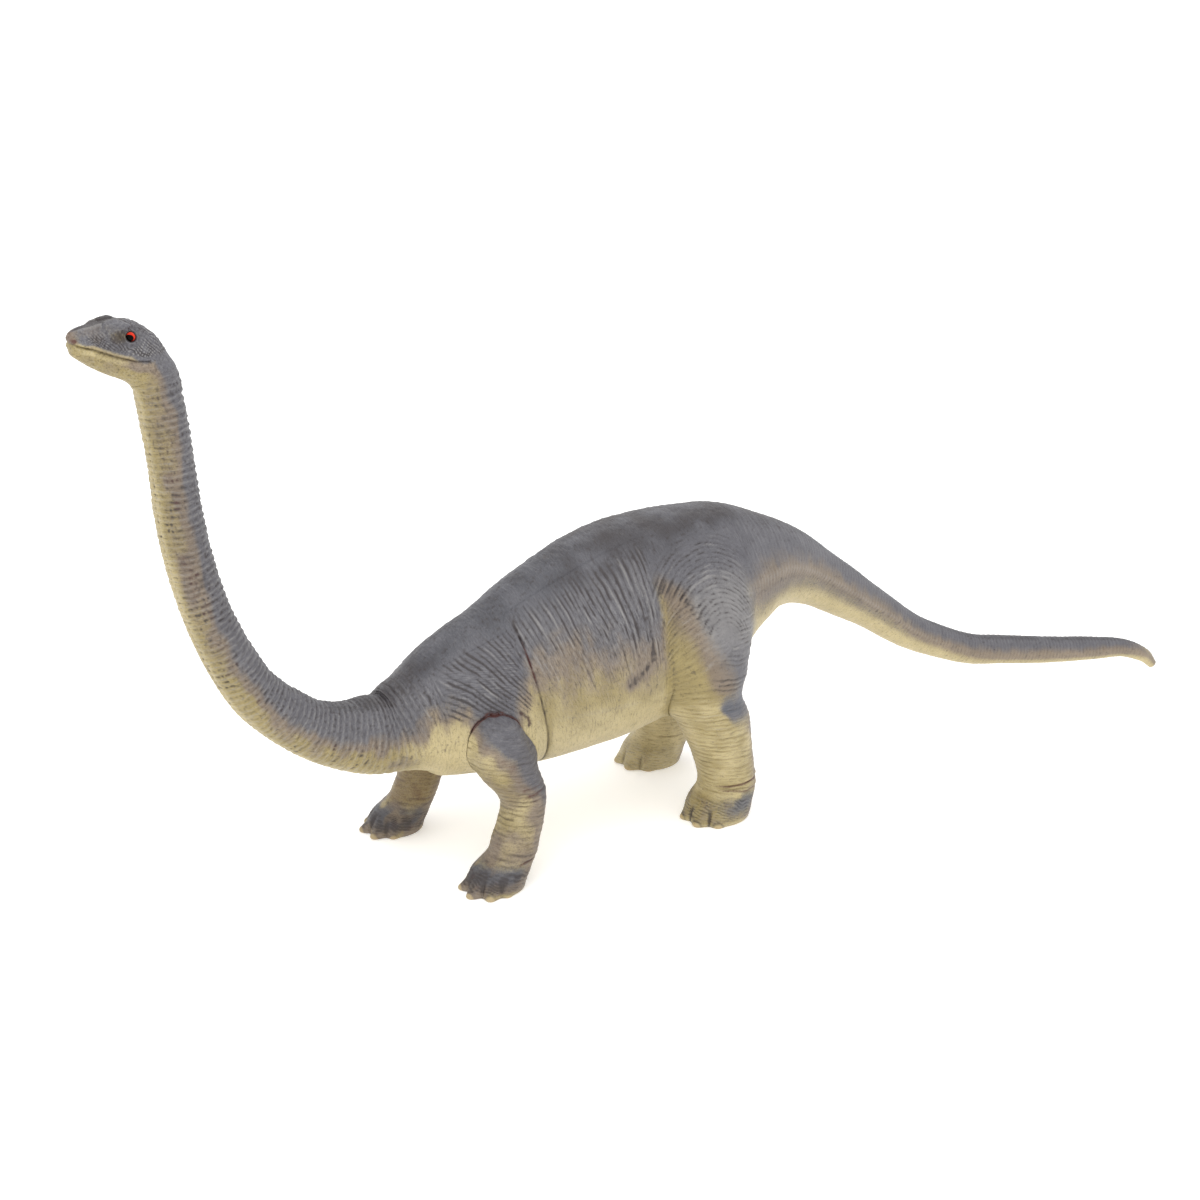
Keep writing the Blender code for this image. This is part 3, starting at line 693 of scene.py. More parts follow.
    # The seam between chest and trunk: a clean line low down, a worn and stained fold higher up
    seam = s - BODY.knots[CHEST_JOIN]
    line = bump(seam, 0, 0.42)
    clean = line * smooth(side, 1.10, 1.30)
    worn = line * smooth(side, 0.32, 0.5) * smooth(side, 1.30, 1.10)
    worn = worn * smooth(hills(2.5, 33), -1.0, -0.3)
    height -= 0.30 * clean + 0.40 * worn
    paints.rust += 0.8 * worn * smooth(side, 0.5, 0.9)
    paints.wash_and_painted_shade += 0.52 * clean + 0.8 * worn
    paints.olive += clean + 0.5 * bump(seam, 0.9, 0.8) * smooth(side, 1.10, 1.30)

    # Scored folds in front of the thigh, stained purple brown
    for line, width, dark in zip(SCORES, (0.9, 0.65, 1.1), (0.9, 0.95, 0.9)):
        gap = stroke(hip_x, z, line) + 0.5 * hills(2.0, 93)
        blot = 0.3 + 0.7 * smooth(hills((1.0, 1.0, 1.6), 15), -0.6, 0.4)
        height -= middle * 0.28 * bump(gap, 0, 0.7)
        paints.wash_and_painted_shade += middle * dark * blot * bump(gap, 0, width)
        paints.mauve += middle * 0.6 * bump(gap, 0, 2.4)

    # Arches over the hip that run down its front and back, and folds that fan over the thigh's front. Lift
    # stands for the length up the rounded side
    lift = 0.87 * z - 0.5 * np.abs(y) + 22.8
    arch = np.hypot((hip_x + 3.5) / 0.74, lift - 60)
    turn = np.arctan2(lift - 60, (hip_x + 3.5) / 0.74)
    phase = arch / 1.75 + 0.35 * hills(8, 16) + 0.10 * hills(2.6, 17)
    hip = middle * smooth(hip_x, -29, -25) * smooth(hip_x, 18, 10) * smooth(side, 0.26, 0.50)
    here = hip * smooth(turn, 2.9, 2.6) * smooth(turn, 0.3, 0.7)
    here = here * smooth(arch, 7, 13) * smooth(arch, 46, 38)
    start = 78 - 16 * smooth(hip_x, -20, -6)
    here = here * smooth(z, start, start + 7)
    drape = here * smooth(turn, 1.7, 2.3)
    height += lay(here, folds(phase, turn * 32, 1.75, 18, (1.6, 9), 0.35), 0.8 * depth, 0.55, 0.65)
    height += lay(drape, folds(phase / 1.8, turn * 32, 3.1, 100, (3, 12), 0.5), depth, 0.35, 0.6)
    turn_flow(here, arch, turn * 32)
    paints.lined *= 1 - 0.45 * here
    phase = (z + 0.15 * hip_x) / 1.55 + 0.4 * hills(7, 34) + 0.12 * hills(2, 35)
    rear = hip * smooth(turn, 1.0, 0.6) * smooth(hip_x, -14, -6) * smooth(z, 44, 50)
    height += lay(rear, folds(phase, hip_x, 1.55, 36, (1.5, 7), 0.35), 0.9 * depth, 0.6, 0.6)
    turn_flow(rear, phase * 1.55, hip_x)
    paints.lined *= 1 - 0.5 * rear
    paints.olive += 0.25 * rear * smooth(z, 84, 66)
    # Paler over the bulge of the hip, where it faces the light: dry brush together with a painted highlight
    paints.dry_brush_and_painted_highlight += 0.72 * hip * smooth(hip_x, -20, -6) * smooth(z, 50, 72) * smooth(z, 92, 78)
    crease = hip_x - table(z, ((44, -24.9), (69, -25.4), (84, -22.5), (92, -19)))
    here = smooth(z, 90, 80) * smooth(z, 42, 48) * smooth(side, 0.8, 1.1) * (1 - tail)
    height -= 0.25 * here * bump(crease, 0, 0.45)
    paints.wash_and_painted_shade += 0.25 * here * bump(crease, 0, 0.4)
    reach = np.maximum(crease, 0)
    climb = z - (0.25 + 1.15 * smooth(z, 48, 68)) * 7.5 * (1 - np.exp(-reach / 7.5))
    phase = climb / 1.75 + 0.35 * hills(7, 19) + 0.12 * hills(2.4, 20)
    here = smooth(crease, 0, 1.5) * smooth(hip_x, 2, -8) * smooth(z, 44, 48)
    here = here * smooth(z, 86, 76) * (1 - tail)
    work = folds(phase, reach, 1.75, 21, (1.8, 9), 0.65)
    fading = here * (1 - 0.5 * smooth(reach, 8, 18))
    height += lay(fading, work, 1.45 * depth, 0.28, 0.6)
    paints.olive += fading * work[1] + 0.5 * here * bump(crease, 1.5, 3.5)
    turn_flow(here, climb, reach)
    paints.lined *= 1 - 0.5 * here

    # Tail: fine soft rings, and a soft ridge along each side with a hollow under it
    phase = s / 1.5 + 0.25 * hills(5, 22)
    rise, valley = fold(phase, 0.2)
    height += tail * 0.12 * (rise - 0.6) * (0.5 + 0.5 * hills(2.5, 23))
    paints.wash_and_painted_shade += tail * valley * 0.35 * (0.5 + 0.5 * hills(1.5, 82))
    paints.dry_brush_and_painted_highlight += tail * smooth(rise, 0.8, 1) * 0.3
    scale = (s / 2.3) % 1
    height += (tail + middle * 0.6) * bump(side, 0.1, 0.3) * 0.36 * (scale**1.4 - 0.45)
    # The row of scales down the back ends in a small step
    height += 0.45 * bump(side, 0, 0.4) * smooth(x, 40, 72) * smooth(x, 77.6, 76.4)
    flat = smooth(x, 130, 80)
    ridge = 1.38 + 0.06 * smooth(x, 30, 70)
    height += tail * flat * 0.50 * bump(side, ridge, 0.13)
    height -= tail * flat * 0.55 * bump(side, ridge + 0.40, 0.26)

    # The back is smoother and darker, with soft dimples
    soft = 1 - 0.7 * back * (1 - neck)
    height *= soft
    paints.wash_and_painted_shade *= soft
    height += middle * back * (0.10 * hills(2.2, 24) + 0.14 * hills(1.1, 97))
    dusk = smooth(side, 0.72, 0.25) * (0.8 + 0.4 * hills(5, 37))
    paints.wash_and_painted_shade += (0.50 - 0.10 * neck + 0.25 * smooth(x, -60, -35) * smooth(x, 60, 20)) * dusk
    paints.blue += 0.75 * dusk
    paints.lined *= 1 - 0.6 * smooth(side, 0.95, 0.45) * middle
    paints.wash_and_painted_shade += 0.12 * bump(x, -112, 16) * smooth(side, 1.6, 1.2)
    height += (0.5 * bump(x, -117, 4.5) - 2.5 * bump(x, -108.5, 6.8)) * smooth(side, 1.6, 0.4)
    height -= 0.8 * bump(x, -79, 8) * smooth(side, 0.9, 0.1)
    # Pale specks on the far shoulder of the back, over the hips and the root of the tail: dry brush together
    # with a painted rim highlight along the far side
    pale_specks_and_rim_highlight = bump(angle, 0.44, 0.2) * smooth(hip_x, -26, -8) * smooth(x, 52, 30)
    paints.dry_brush_and_painted_highlight += 1.4 * pale_specks_and_rim_highlight * smooth(hills((1.6, 1.0, 1.0), 83), 0.0, 0.5)
    # Fine grain of the tool-cut master, everywhere
    grain = hills(0.75, 25)
    height += relief.grain_depth / MM * grain + 0.06 * hills(2.6, 26)
    paints.wash_and_painted_shade += 0.35 * smooth(grain, -0.3, -0.9)

    # The grey coat, sprayed from above, with a brown edge where it thins out
    reach = np.radians(np.where(x < -118, table(s, NECK_COAT), table(x, BODY_COAT)))
    spray = side - reach + 0.15 * hills(12, 27) + 0.16 * hills((2, 2, 5), 28)
    width = 0.30 + 0.12 * smooth(x, -110, -60) + 0.16 * tail
    paints.grey = smooth(spray, width, -width)
    paints.mauve += 0.85 * bump(spray, 0.05, 0.26 + 0.14 * smooth(x, -90, -70))
    low_side = middle * smooth(z, 36, 58) * smooth(hip_x, -22, -28) * (0.15 + 0.85 * smooth(x, -80, -68))
    paints.olive += 0.95 * low_side * (0.85 + 0.35 * hills(5, 84))
    paints.mauve += 0.28 * low_side * smooth(hills(4, 85), -0.6, 0.7)
    thigh = smooth(hip_x, -27, -22) * smooth(z, 99, 92) * smooth(side, 0.50, 0.72) * (1 - tail)
    front = hip_x - table(z, THIGH_COAT) + 2.5 * hills(7, 29)
    coat = smooth(front, -5.5, 5.5)
    paints.grey = paints.grey * (1 - thigh) + coat * thigh
    paints.mauve = paints.mauve * (1 - thigh) + thigh * bump(front, -2.5, 6.5)
    paints.mauve += 0.35 * thigh * smooth(z, 70, 86) * (1 - coat)
    paints.olive += thigh * (1 - coat) * (0.75 + 0.45 * hills(5, 30))
    paints.wash_and_painted_shade += 0.34 * thigh * (1 - coat) * smooth(z, 74, 86)
    paints.grey += 0.35 * thigh * (1 - coat) * smooth(z, 80, 90)
    mottle = 1.0 + 0.45 * hills(7, 31)
    upper = neck * smooth(s, 112, 60)
    paints.olive += (0.30 + smooth(side, 2.9, 2.2)) * neck * mottle * (1 - 0.45 * smooth(x, -126, -112))
    paints.mauve += 0.6 * neck * smooth(hills((4, 4, 6), 86), -0.3, 0.7) * smooth(side, 2.8, 2.1)
    paints.mauve += 0.40 * upper * smooth(side, 2.8, 2.2)
    paints.wash_and_painted_shade += 0.14 * neck * smooth(side, 2.55, 2.15)
    paints.wash_and_painted_shade += 0.12 * upper * smooth(side, 2.95, 2.5) * (1 + 0.6 * hills(4, 95))
    paints.rust += 0.22 * upper * smooth(hills((3, 3, 5), 96), 0.0, 0.6) * bump(side, 2.0, 0.4)
    # Along each side of the tail: grey and olive laid in the hollow under the ridge as painted shade, and the
    # ridge line kept clear of grey
    painted_shade_under_ridge = bump(side, ridge + 0.36, 0.30) * tail * flat
    line = bump(side, ridge, 0.10) * tail * flat
    paints.grey = np.maximum(paints.grey * (1 - 0.7 * line), 0.36 * painted_shade_under_ridge)
    paints.grey += 0.12 * tail * smooth(x, 120, 60)
    paints.grey *= 1 - 0.6 * smooth(x, 186, 203)
    paints.mauve += 0.10 * tail
    paints.olive += 0.35 * tail * smooth(x, 90, 130)
    paints.olive += tail * (0.25 * line + 0.35 * bump(side, ridge - 0.2, 0.3) + 0.5 * painted_shade_under_ridge)
    rear_brown = 0.65 * smooth(x, 90, 150) * smooth(side, 2.6, 1.8)
    paints.mauve += tail * (0.55 * smooth(side, 2.3, 1.35) + rear_brown)
    # A pale line on the ridge, dry brush and painted highlight, and just under it a thin dark line of painted
    # shade; the tail is also darker towards its end
    paints.dry_brush_and_painted_highlight += 0.36 * line
    paints.wash_and_painted_shade += 0.22 * tail * flat * bump(side, ridge + 0.18, 0.08) + 0.10 * smooth(x, 95, 130)
    for paint in (paints.mauve, paints.olive, paints.wash_and_painted_shade):
        paint *= 1 - 0.6 * smooth(x, 191, 203)
    stain = smooth(hills((3, 3, 2), 32), -0.1, 0.5)
    paints.rust += 0.8 * neck * groove * stain * bump(spray, 0.25, 0.5)
    return height, paints


def head_skin(points):
    """The relief on the head, in millimetres from the snout and below the crown."""
    x, y, z = np.moveaxis(points - HEAD_PLACE, -1, 0)
    out = np.abs(y)
    paints, hills = no_paint(x.shape), partial(noise, points)
    height = np.zeros(x.shape)
    middle, _, half = HEAD_FORM.section(x)

    gap = stroke(x, z, MOUTH)
    at_side = smooth(out, 0.2, 0.8)
    above = z - table(x, MOUTH)
    closed = smooth(x, 22.6, 20.4)
    line = bump(gap, 0, 0.32) * closed
    height -= 0.55 * line * smooth(x, -0.5, 3)
    height += 0.20 * bump(above, 1.0, 0.6) * closed * at_side
    height += 0.24 * bump(above, -1.1, 0.6) * closed * at_side
    corner = stroke(x, z, ((20.6, -11.2), (22.0, -12.2), (22.2, -13.6)))
    height -= 0.15 * bump(corner, 0, 0.6) * at_side
    paints.wash_and_painted_shade += 0.25 * bump(corner, 0, 0.5) * at_side
    paints.olive += 0.9 * line
    paints.wash_and_painted_shade += 0.65 * line * (0.8 + 0.2 * hills(1.2, 40))

    # Ridge from the nostril to the brow, and the shallow trough between the two ridges
    ridge_out = np.interp(x, (1, 6, 13, 18), (0.9, 2.2, 3.3, 4.2))
    upper = smooth(z, middle + 0.35 * half, middle + 0.75 * half)
    along_snout = smooth(x, 1.0, 3.0) * smooth(x, 16.5, 12.5)
    height += (0.42 + 0.75 * smooth(x, 6.0, 8.6)) * bump(out, ridge_out, 0.6) * upper * along_snout
    height -= 0.42 * bump(out, 0, 1.5) * upper * along_snout
    # Painted shade in the trough between the two ridges, where each crest casts its shadow, and a pale dry
    # brush along the ridge tops that is also a painted highlight
    paints.wash_and_painted_shade += 0.9 * smooth(ridge_out - out, 0.1, 0.7) * upper * smooth(x, 0.4, 2.0) * smooth(x, 18, 14)
    paints.dry_brush_and_painted_highlight += 0.5 * bump(out, ridge_out, 0.5) * upper * along_snout

    # Eye socket, lids and the creases in front of it
    eye = np.hypot((x - EYE[0]) / 1.10, z - EYE[2])
    on_side = smooth(out, 2.5, 4.0)
    height -= 1.1 * np.exp(-((eye / 1.12) ** 4)) * on_side
    height += 0.42 * bump(eye, 1.55, 0.34) * on_side
    height -= 0.26 * bump(eye, 2.35, 0.42) * on_side
    height += 0.30 * bump(np.hypot((x - EYE[0] + 0.8) / 2.4, z - EYE[2] - 2.6), 0, 0.9) * on_side
    paints.wash_and_painted_shade += 0.9 * bump(eye, 1.25, 0.3) * on_side + 0.35 * bump(eye, 2.3, 0.45) * on_side
    creases = bump(np.hypot((x - 13.2) / 1.6, z + 3.6), 0, 1.3) * on_side
    hatch, valley = fold((x * 0.9 + z * 0.5) / 1.3 + 0.3 * hills(1.5, 41), 0.26)
    height += 0.20 * creases * (hatch - 0.6)
    paints.wash_and_painted_shade += 1.5 * creases * valley + 0.45 * creases
    paints.olive += 1.2 * creases
    paints.grey -= 0.75 * creases
    nostril = np.hypot(x - 1.5, z + 3.9)
    height -= 0.45 * bump(nostril, 0, 0.45) * smooth(out, 0.3, 0.7)
    paints.rust += 0.8 * bump(nostril, 0, 0.6)

    # Small scales: slanting rows on the cheek, beads elsewhere
    slant, valley = fold((x + z) / 0.95 + 0.9 * hills(1.9, 42), 0.2)
    cross, dip = fold((x - z) / 1.25 + 1.1 * hills(1.9, 43), 0.2)
    dip = dip * smooth(hills(1.6, 101), -0.4, 0.4)
    cheek = smooth(x, 3, 6) * smooth(above, 0.9, 2.0) * smooth(eye, 2.3, 3.2)
    cheek = cheek * (1 - 0.75 * upper * smooth(x, 19, 15))
    height += 0.24 * cheek * (slant - 0.6) + 0.18 * cheek * (cross - 0.6)
    paints.wash_and_painted_shade += 1.25 * cheek * np.maximum(valley, dip) * (0.6 + 0.6 * hills(1.6, 44))
    paints.wash_and_painted_shade += 0.10 * cheek
    paints.dry_brush_and_painted_highlight += 1.3 * cheek * (0.6 + 0.8 * hills(2.5, 102)) * smooth(slant * cross, 0.6, 0.95)
    jaw = smooth(above, -1.4, -2.6) * smooth(x, 2, 4)
    fan, valley = fold((0.5 * x + z) / 1.2 + 0.5 * hills(3, 50), 0.2)
    height += 0.08 * jaw * (fan - 0.6)
    paints.wash_and_painted_shade += 0.25 * jaw * valley * smooth(hills(3, 51), -0.3, 0.4)
    height += 0.05 * hills(0.6, 45) + 0.12 * hills(2.4, 46)

    # Grey over the head down to just above the mouth, pale jaw, and a pink brown snout
    low = 1.15 - 0.3 * smooth(x, 10, 2) - 1.5 * smooth(x, 13, 21)
    edge = np.maximum(above - low, 0.8 * (x - 21.6 - 0.35 * (-11 - z)))
    edge = edge + 0.45 * hills(2.5, 47)
    rosy = smooth(hills(3, 52), -0.2, 0.6) * smooth(x, 15, 8) * smooth(above, 0.3, 1.5)
    paints.grey = np.clip(smooth(edge, -0.7, 0.8) * (1 - 0.35 * rosy) + paints.grey, 0, 1)
    paints.mauve += 0.5 * bump(edge, -0.5, 1.1) * smooth(x, 2, 6) + rosy
    # A soft band of painted shade just under the mouth line, where the upper lip shades the jaw, stronger
    # towards the back of the mouth
    paints.mauve += (0.25 * smooth(x, 6, 12) + 0.6 * smooth(x, 11, 17)) * bump(above, -1.6, 1.4) * at_side
    paints.olive += 0.7 * jaw + 0.3
    paints.mauve += 0.35 * jaw * smooth(hills(2.2, 53), -0.3, 0.5)
    snout = smooth(x, 3.6, 0.6) * smooth(z, -5.4, -4.0)
    paints.grey *= 1 - 0.8 * snout
    paints.mauve += 0.9 * snout
    paints.rust += 0.35 * snout
    paints.olive += 0.45 * smooth(edge, 0.2, -2) * (0.6 + 0.6 * hills(4, 48))
    paints.lined += 0.7
    paints.flow = np.stack([0.55 * (x + z), 2.4 * (x - z), y], axis=-1)
    return height, paints


def leg_skin(limb, points, front):
    """Rings and creases on a leg, its toes and nails, and its coats of paint."""
    relief = bpy.context.scene.dinosaur_relief
    x, y, z = np.moveaxis(points, -1, 0)
    cx, cy, a, b = limb.section(z)
    dx, dy = (x - cx) / a, limb.side * (y - cy) / b
    paints, hills = no_paint(x.shape), partial(noise, points)
    lean = 0.10 if front else 0.06
    turn = np.arctan2(dy, dx)
    phase = (z + lean * a * dx) / 1.7 + 0.40 * hills((7, 7, 5), 60) + 0.12 * hills(2.4, 61)
    work = folds(phase, np.abs(turn) * 8, 1.7, 62, (1.5, 4.0), 0.1)
    ankle = 9.0 if front else 11.0
    above = smooth(z, ankle - 2, ankle + 1.5)
    if front:
        above = above * (1 - 0.25 * smooth(z, 34, 40))
    height = above * 0.8 * relief.leg_ring_depth / MM * work[0]
    paints.wash_and_painted_shade += above * work[1] * (0.32 if front else 0.30)
    paints.olive += above * work[1] * 0.6
    paints.dry_brush_and_painted_highlight += above * np.maximum(work[2], 0) * 0.5

    outer = smooth(dy, -0.2, 0.5)
    if front:
        creases = ((31.6, 0.06, 0.9), (29.2, 0.05, 0.65), (9.3, 0.10, 0.8), (33.8, 0.04, 0.5))
        reach = smooth(dx, -0.35, 0.1)
    else:
        creases = ((13.2, 0.02, 1.0), (11.0, -0.10, 0.75), (50.5, 0.10, 0.6), (47.5, 0.05, 0.4))
        outer = smooth(dy, -0.8, -0.2)
        reach = smooth(dx, -1.0, -0.5)
    for level, slope, strength in creases:
        gap = z - level - slope * a * dx - 0.4 * hills(4, 63)
        line = bump(gap, 0, 0.42) * reach * outer * strength
        height -= 0.42 * line
        height += 0.24 * bump(gap, 1.0, 0.6) * reach * outer * strength
        paints.rust += 0.9 * line * smooth(hills((3, 3, 1.5), 64), -1.0, -0.2)
        paints.wash_and_painted_shade += 0.3 * line

    # The foot: creases between the toes, wrinkles on top, nails
    crease, nail = limb.toe_gap(points)
    foot = 1 - smooth(z, ankle - 3.5, ankle - 0.5)
    ahead = smooth(dx, 0.1, -0.3)
    between = bump(crease, 0, 0.75) * foot * ahead * smooth(z, 7.5, 4.0)
    height -= 0.65 * between
    paints.wash_and_painted_shade += 0.75 * between
    wrinkle, valley = fold(0.90 * z + 0.35 * x + 0.9 * hills(3, 65), 0.2)
    height += foot * (0.28 if front else 0.22) * (wrinkle - 0.6) * smooth(z, 1.2, 2.4)
    deep = foot * smooth(hills(2.0, 66), -0.6, 0.3) * smooth(z, 1.4, 2.6)
    paints.wash_and_painted_shade += deep * (valley + 0.2 if front else 0.6 * valley)
    paints.dry_brush_and_painted_highlight += foot * 0.5 * smooth(wrinkle, 0.8, 1)
    clear = smooth(nail, 0.35, 0.1)
    edge = bump(nail, 0.5, 0.28) * foot
    height = height * (1 - clear * foot) - 0.16 * edge
    paints.wash_and_painted_shade = paints.wash_and_painted_shade * (1 - 0.8 * clear * foot) + 0.45 * edge
    paints.nail = 0.8 * clear * foot * smooth(z, 5, 2.5)
    height += relief.grain_depth / MM * hills(0.75, 67) + 0.09 * hills(2.2, 68)

    blur = hills(5, 69)
    if front:
        coat = dx + 0.15 * outer - table(z, FRONT_COAT) + 0.2 * blur
        grey = smooth(coat, -0.35, 0.4) * smooth(z, 18, 32)
        paints.olive += 0.6 * (0.8 + 0.5 * hills(4, 87)) * smooth(z, 46, 34)
        paints.mauve += 0.95 * bump(coat, -0.1, 0.28) * smooth(z, 12, 20) + 0.35 * smooth(blur, -0.5, 0.5)
        paints.wash_and_painted_shade += 0.16 * smooth(z, 32, 40) * smooth(coat, -0.3, 0.3) + 0.20 * smooth(z, 50, 42)
        paints.rust += 0.35 * bump(coat, -0.1, 0.22) * smooth(z, 30, 38) * smooth(hills(2, 94), -0.2, 0.5)
        paints.mauve += 0.8 * bump(z, 25, 3.6) * outer * smooth(dx, -0.6, 0.1) + 0.2 * smooth(z, 46, 34)
        paints.rust += 0.22 * bump(z, 15, 4) * smooth(hills(3, 99), -0.3, 0.5)
        paints.olive += 0.35 * smooth(z, 50, 40) * smooth(z, 28, 36)
        paints.mauve += 0.6 * smooth(z, 24, 12) * smooth(blur, -0.7, 0.3)
        paints.mauve += 0.35 * bump(z, 12, 4)
        spots = smooth(hills(1.6, 70), 0.25, 0.6)
        paints.rust += 0.35 * spots * bump(z, 33, 7) * outer * smooth(grey, 0.9, 0.3)
        blue = bump(z, 6.4, 2.9) * smooth(dx, 0.55, 0.0)
        paints.wash_and_painted_shade += 0.25 * foot * smooth(z, 1.0, 3.0)
        paints.wash_and_painted_shade *= 1 - 0.5 * foot * np.maximum(smooth(z, 3.6, 1.6), smooth(dx, 0.2, 0.8))
        if limb.side > 0:
            far = smooth(z, 8.5, 12) * smooth(z, 58, 50)
            paints.mauve *= 1 - 0.7 * far
            paints.olive += far
            paints.rust += 0.40 * far
            grey = grey * (1 - 0.7 * far)
    else:
        grey = np.clip(1.4 * smooth(dx + 0.2 * blur, -0.18, 0.18) * bump(z, 45.0, 7.5), 0, 1)
        grey = np.maximum(grey, 0.8 * smooth(dx + 0.15 * blur, 0.55, 0.95) * smooth(z, 8, 14))
        paints.olive += 0.45 * (0.6 + 0.6 * hills(4, 88))
        paints.mauve += 0.6 * smooth(dx + 0.2 * blur, 0.1, 0.8)
        paints.rust += 0.25 * smooth(dx, 0.3, 0.8) * smooth(blur, -0.4, 0.2) * smooth(z, 50, 40)
        blue = 0.95 * bump(z, 6.8, 4.2) * smooth(dy, -0.4, 0.2) * bump(dx, 0.15, 0.7)
        blue = np.maximum(blue, 0.95 * grey * bump(z, 45, 7))
        paints.wash_and_painted_shade += 0.12 * foot + 0.10 * grey * bump(z, 45, 7)
        paints.olive += 0.15 * (1 - smooth(dx, 0.2, 0.7)) * smooth(z, 8, 14)
    paints.grey = grey
    paints.blue = blue * smooth(hills(3, 71), -1.0, 0.0) * (1 - paints.nail)
    brown = foot * smooth(z, 0.8, 2.4) * smooth(hills(2.6, 72), -0.8, 0.4)
    # The far hind leg is painted lighter, as painted light: less brown, olive and wash, and a little pale on
    # the foot
    far_hind_painted_lighter = not front and limb.side > 0
    paints.mauve += (0.75 if front else 0.5 - 0.45 * far_hind_painted_lighter) * brown
    paints.olive += (0.6 - 0.4 * far_hind_painted_lighter) * foot * smooth(z, 0.6, 2.0)
    if far_hind_painted_lighter:
        paints.olive *= 1 - 0.3 * smooth(z, 30, 20)
        paints.wash_and_painted_shade *= 1 - 0.5 * foot
        paints.dry_brush_and_painted_highlight += 0.12 * foot
    paints.rust += 0.3 * foot * smooth(hills(2.0, 89), 0.2, 0.7) * smooth(z, 1.0, 3.0)
    paints.lined += 0.5
    paints.flow = np.stack([phase * 1.7, np.abs(turn) * 8, 0 * x], axis=-1)
    return height, paints


def grid(rows, columns):
    """Places on a sheet: its rows' values, and the angle round from -180 to 180 degrees."""
    rows = rows[:, None] + np.zeros((1, columns + 1))
    return rows, np.linspace(-np.pi, np.pi, columns + 1)[None] + np.zeros(rows.shape)


def settle(start, outward, fields, furthest=40.0):
    """How far out from start a sheet lies: on the surface that blends its own form with the other, or below
    it where the other is in front. Also how much of its relief shows, and how far in front the other is."""
    t = np.zeros(start.shape[:-1])
    for _ in range(SETTLE_STEPS):
        t = np.clip(t - SETTLE_SHARE * fields(start + outward * t[..., None], t)[0], -4, furthest)
    _, own, other = fields(start + outward * t[..., None], t)
    depth = np.clip(1.2 * np.maximum(own - other - 0.04, 0), 0, t + 1.0)
    return t - depth, 1 - smooth(depth, 0.02, 0.7), own - other


def raised(points, outward, height):
    """The sheet with its relief, along the normals of a sheet that is closed round its columns."""
    wrapped = np.concatenate([points[:, -2:-1], points, points[:, 1:2]], axis=1)
    normals = np.cross(wrapped[:, 2:] - wrapped[:, :-2], np.gradient(points, axis=0))
    normals /= np.linalg.norm(normals, axis=-1, keepdims=True) + 1e-12
    normals *= np.sign((normals * outward).sum(axis=-1).mean())
    return points + normals * height[..., None]


def capped(points, paints, rims):
    """The sheet with rows added that roll its two ends in by their rims and close them with flat caps."""
    for end, inner, steps in ((0, 2, rims[0]), (-1, -3, rims[1])):
        edge = points[end]
        middle = edge[:-1].mean(axis=0)
        along = unit(middle - points[inner][:-1].mean(axis=0))
        inward = middle - edge
        length = np.linalg.norm(inward, axis=-1, keepdims=True) + 1e-9
        rows = []
        for onward, inset in steps:
            rows.append(edge + along * onward + inward / length * np.minimum(inset, 0.9 * length))
        last = rows[-1] if rows else edge
        rows += [last + (last[:-1].mean(axis=0) - last) * share for share in (0.5, 1.0)]
        # Before the first row the new ones run from the middle of the cap outwards
        points = np.concatenate([points, rows] if end else [rows[::-1], points])
        for name, value in vars(paints).items():
            extra = np.repeat(value[end][None], len(rows), axis=0)
            setattr(paints, name, np.concatenate([value, extra] if end else [extra, value]))
    return points, paints


def add_object(name, data):
    """An object in the scene for a mesh, a light or a camera."""
    thing = bpy.data.objects.new(name, data)
    bpy.context.scene.collection.objects.link(thing)
    return thing


def add_skin(name, sheet, rims, moulding, node):
    """A closed skin of a sheet in millimetres whose first and last columns coincide."""
    points, paints = capped(*sheet, rims)
    rows, columns = points.shape[:2]
    bm = bmesh.new()
    bmesh.ops.create_grid(bm, x_segments=columns - 1, y_segments=rows - 1, size=1)
    mesh = bpy.data.meshes.new(name)
    bm.to_mesh(mesh)
    mesh.vertices.foreach_set("co", (points * MM).astype(np.float32).ravel())
    for coat in COATS:
        layer = mesh.attributes.new(coat, "FLOAT", "POINT")
        values = np.clip(getattr(paints, coat), 0, 1)
        layer.data.foreach_set("value", values.astype(np.float32).ravel())
    layer = mesh.attributes.new("flow", "FLOAT_VECTOR", "POINT")
    layer.data.foreach_set("vector", paints.flow.astype(np.float32).ravel())
    bm.clear()
    bm.from_mesh(mesh)
    bmesh.ops.remove_doubles(bm, verts=bm.verts, dist=1e-6)
    bmesh.ops.recalc_face_normals(bm, faces=bm.faces)
    for face in bm.faces:
        face.smooth = True
    # The rims of the flat caps stay crisp, so that neighbouring skins shade as one
    for edge in bm.edges:
        edge.smooth = edge.calc_face_angle(0) < CRISP_ANGLE
    bm.to_mesh(mesh)
    bm.free()
    mesh.materials.append(painted_pvc(f"painted_pvc_{moulding}"))
    piece = add_object(name, mesh)
    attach(piece, "root")
    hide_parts(node)


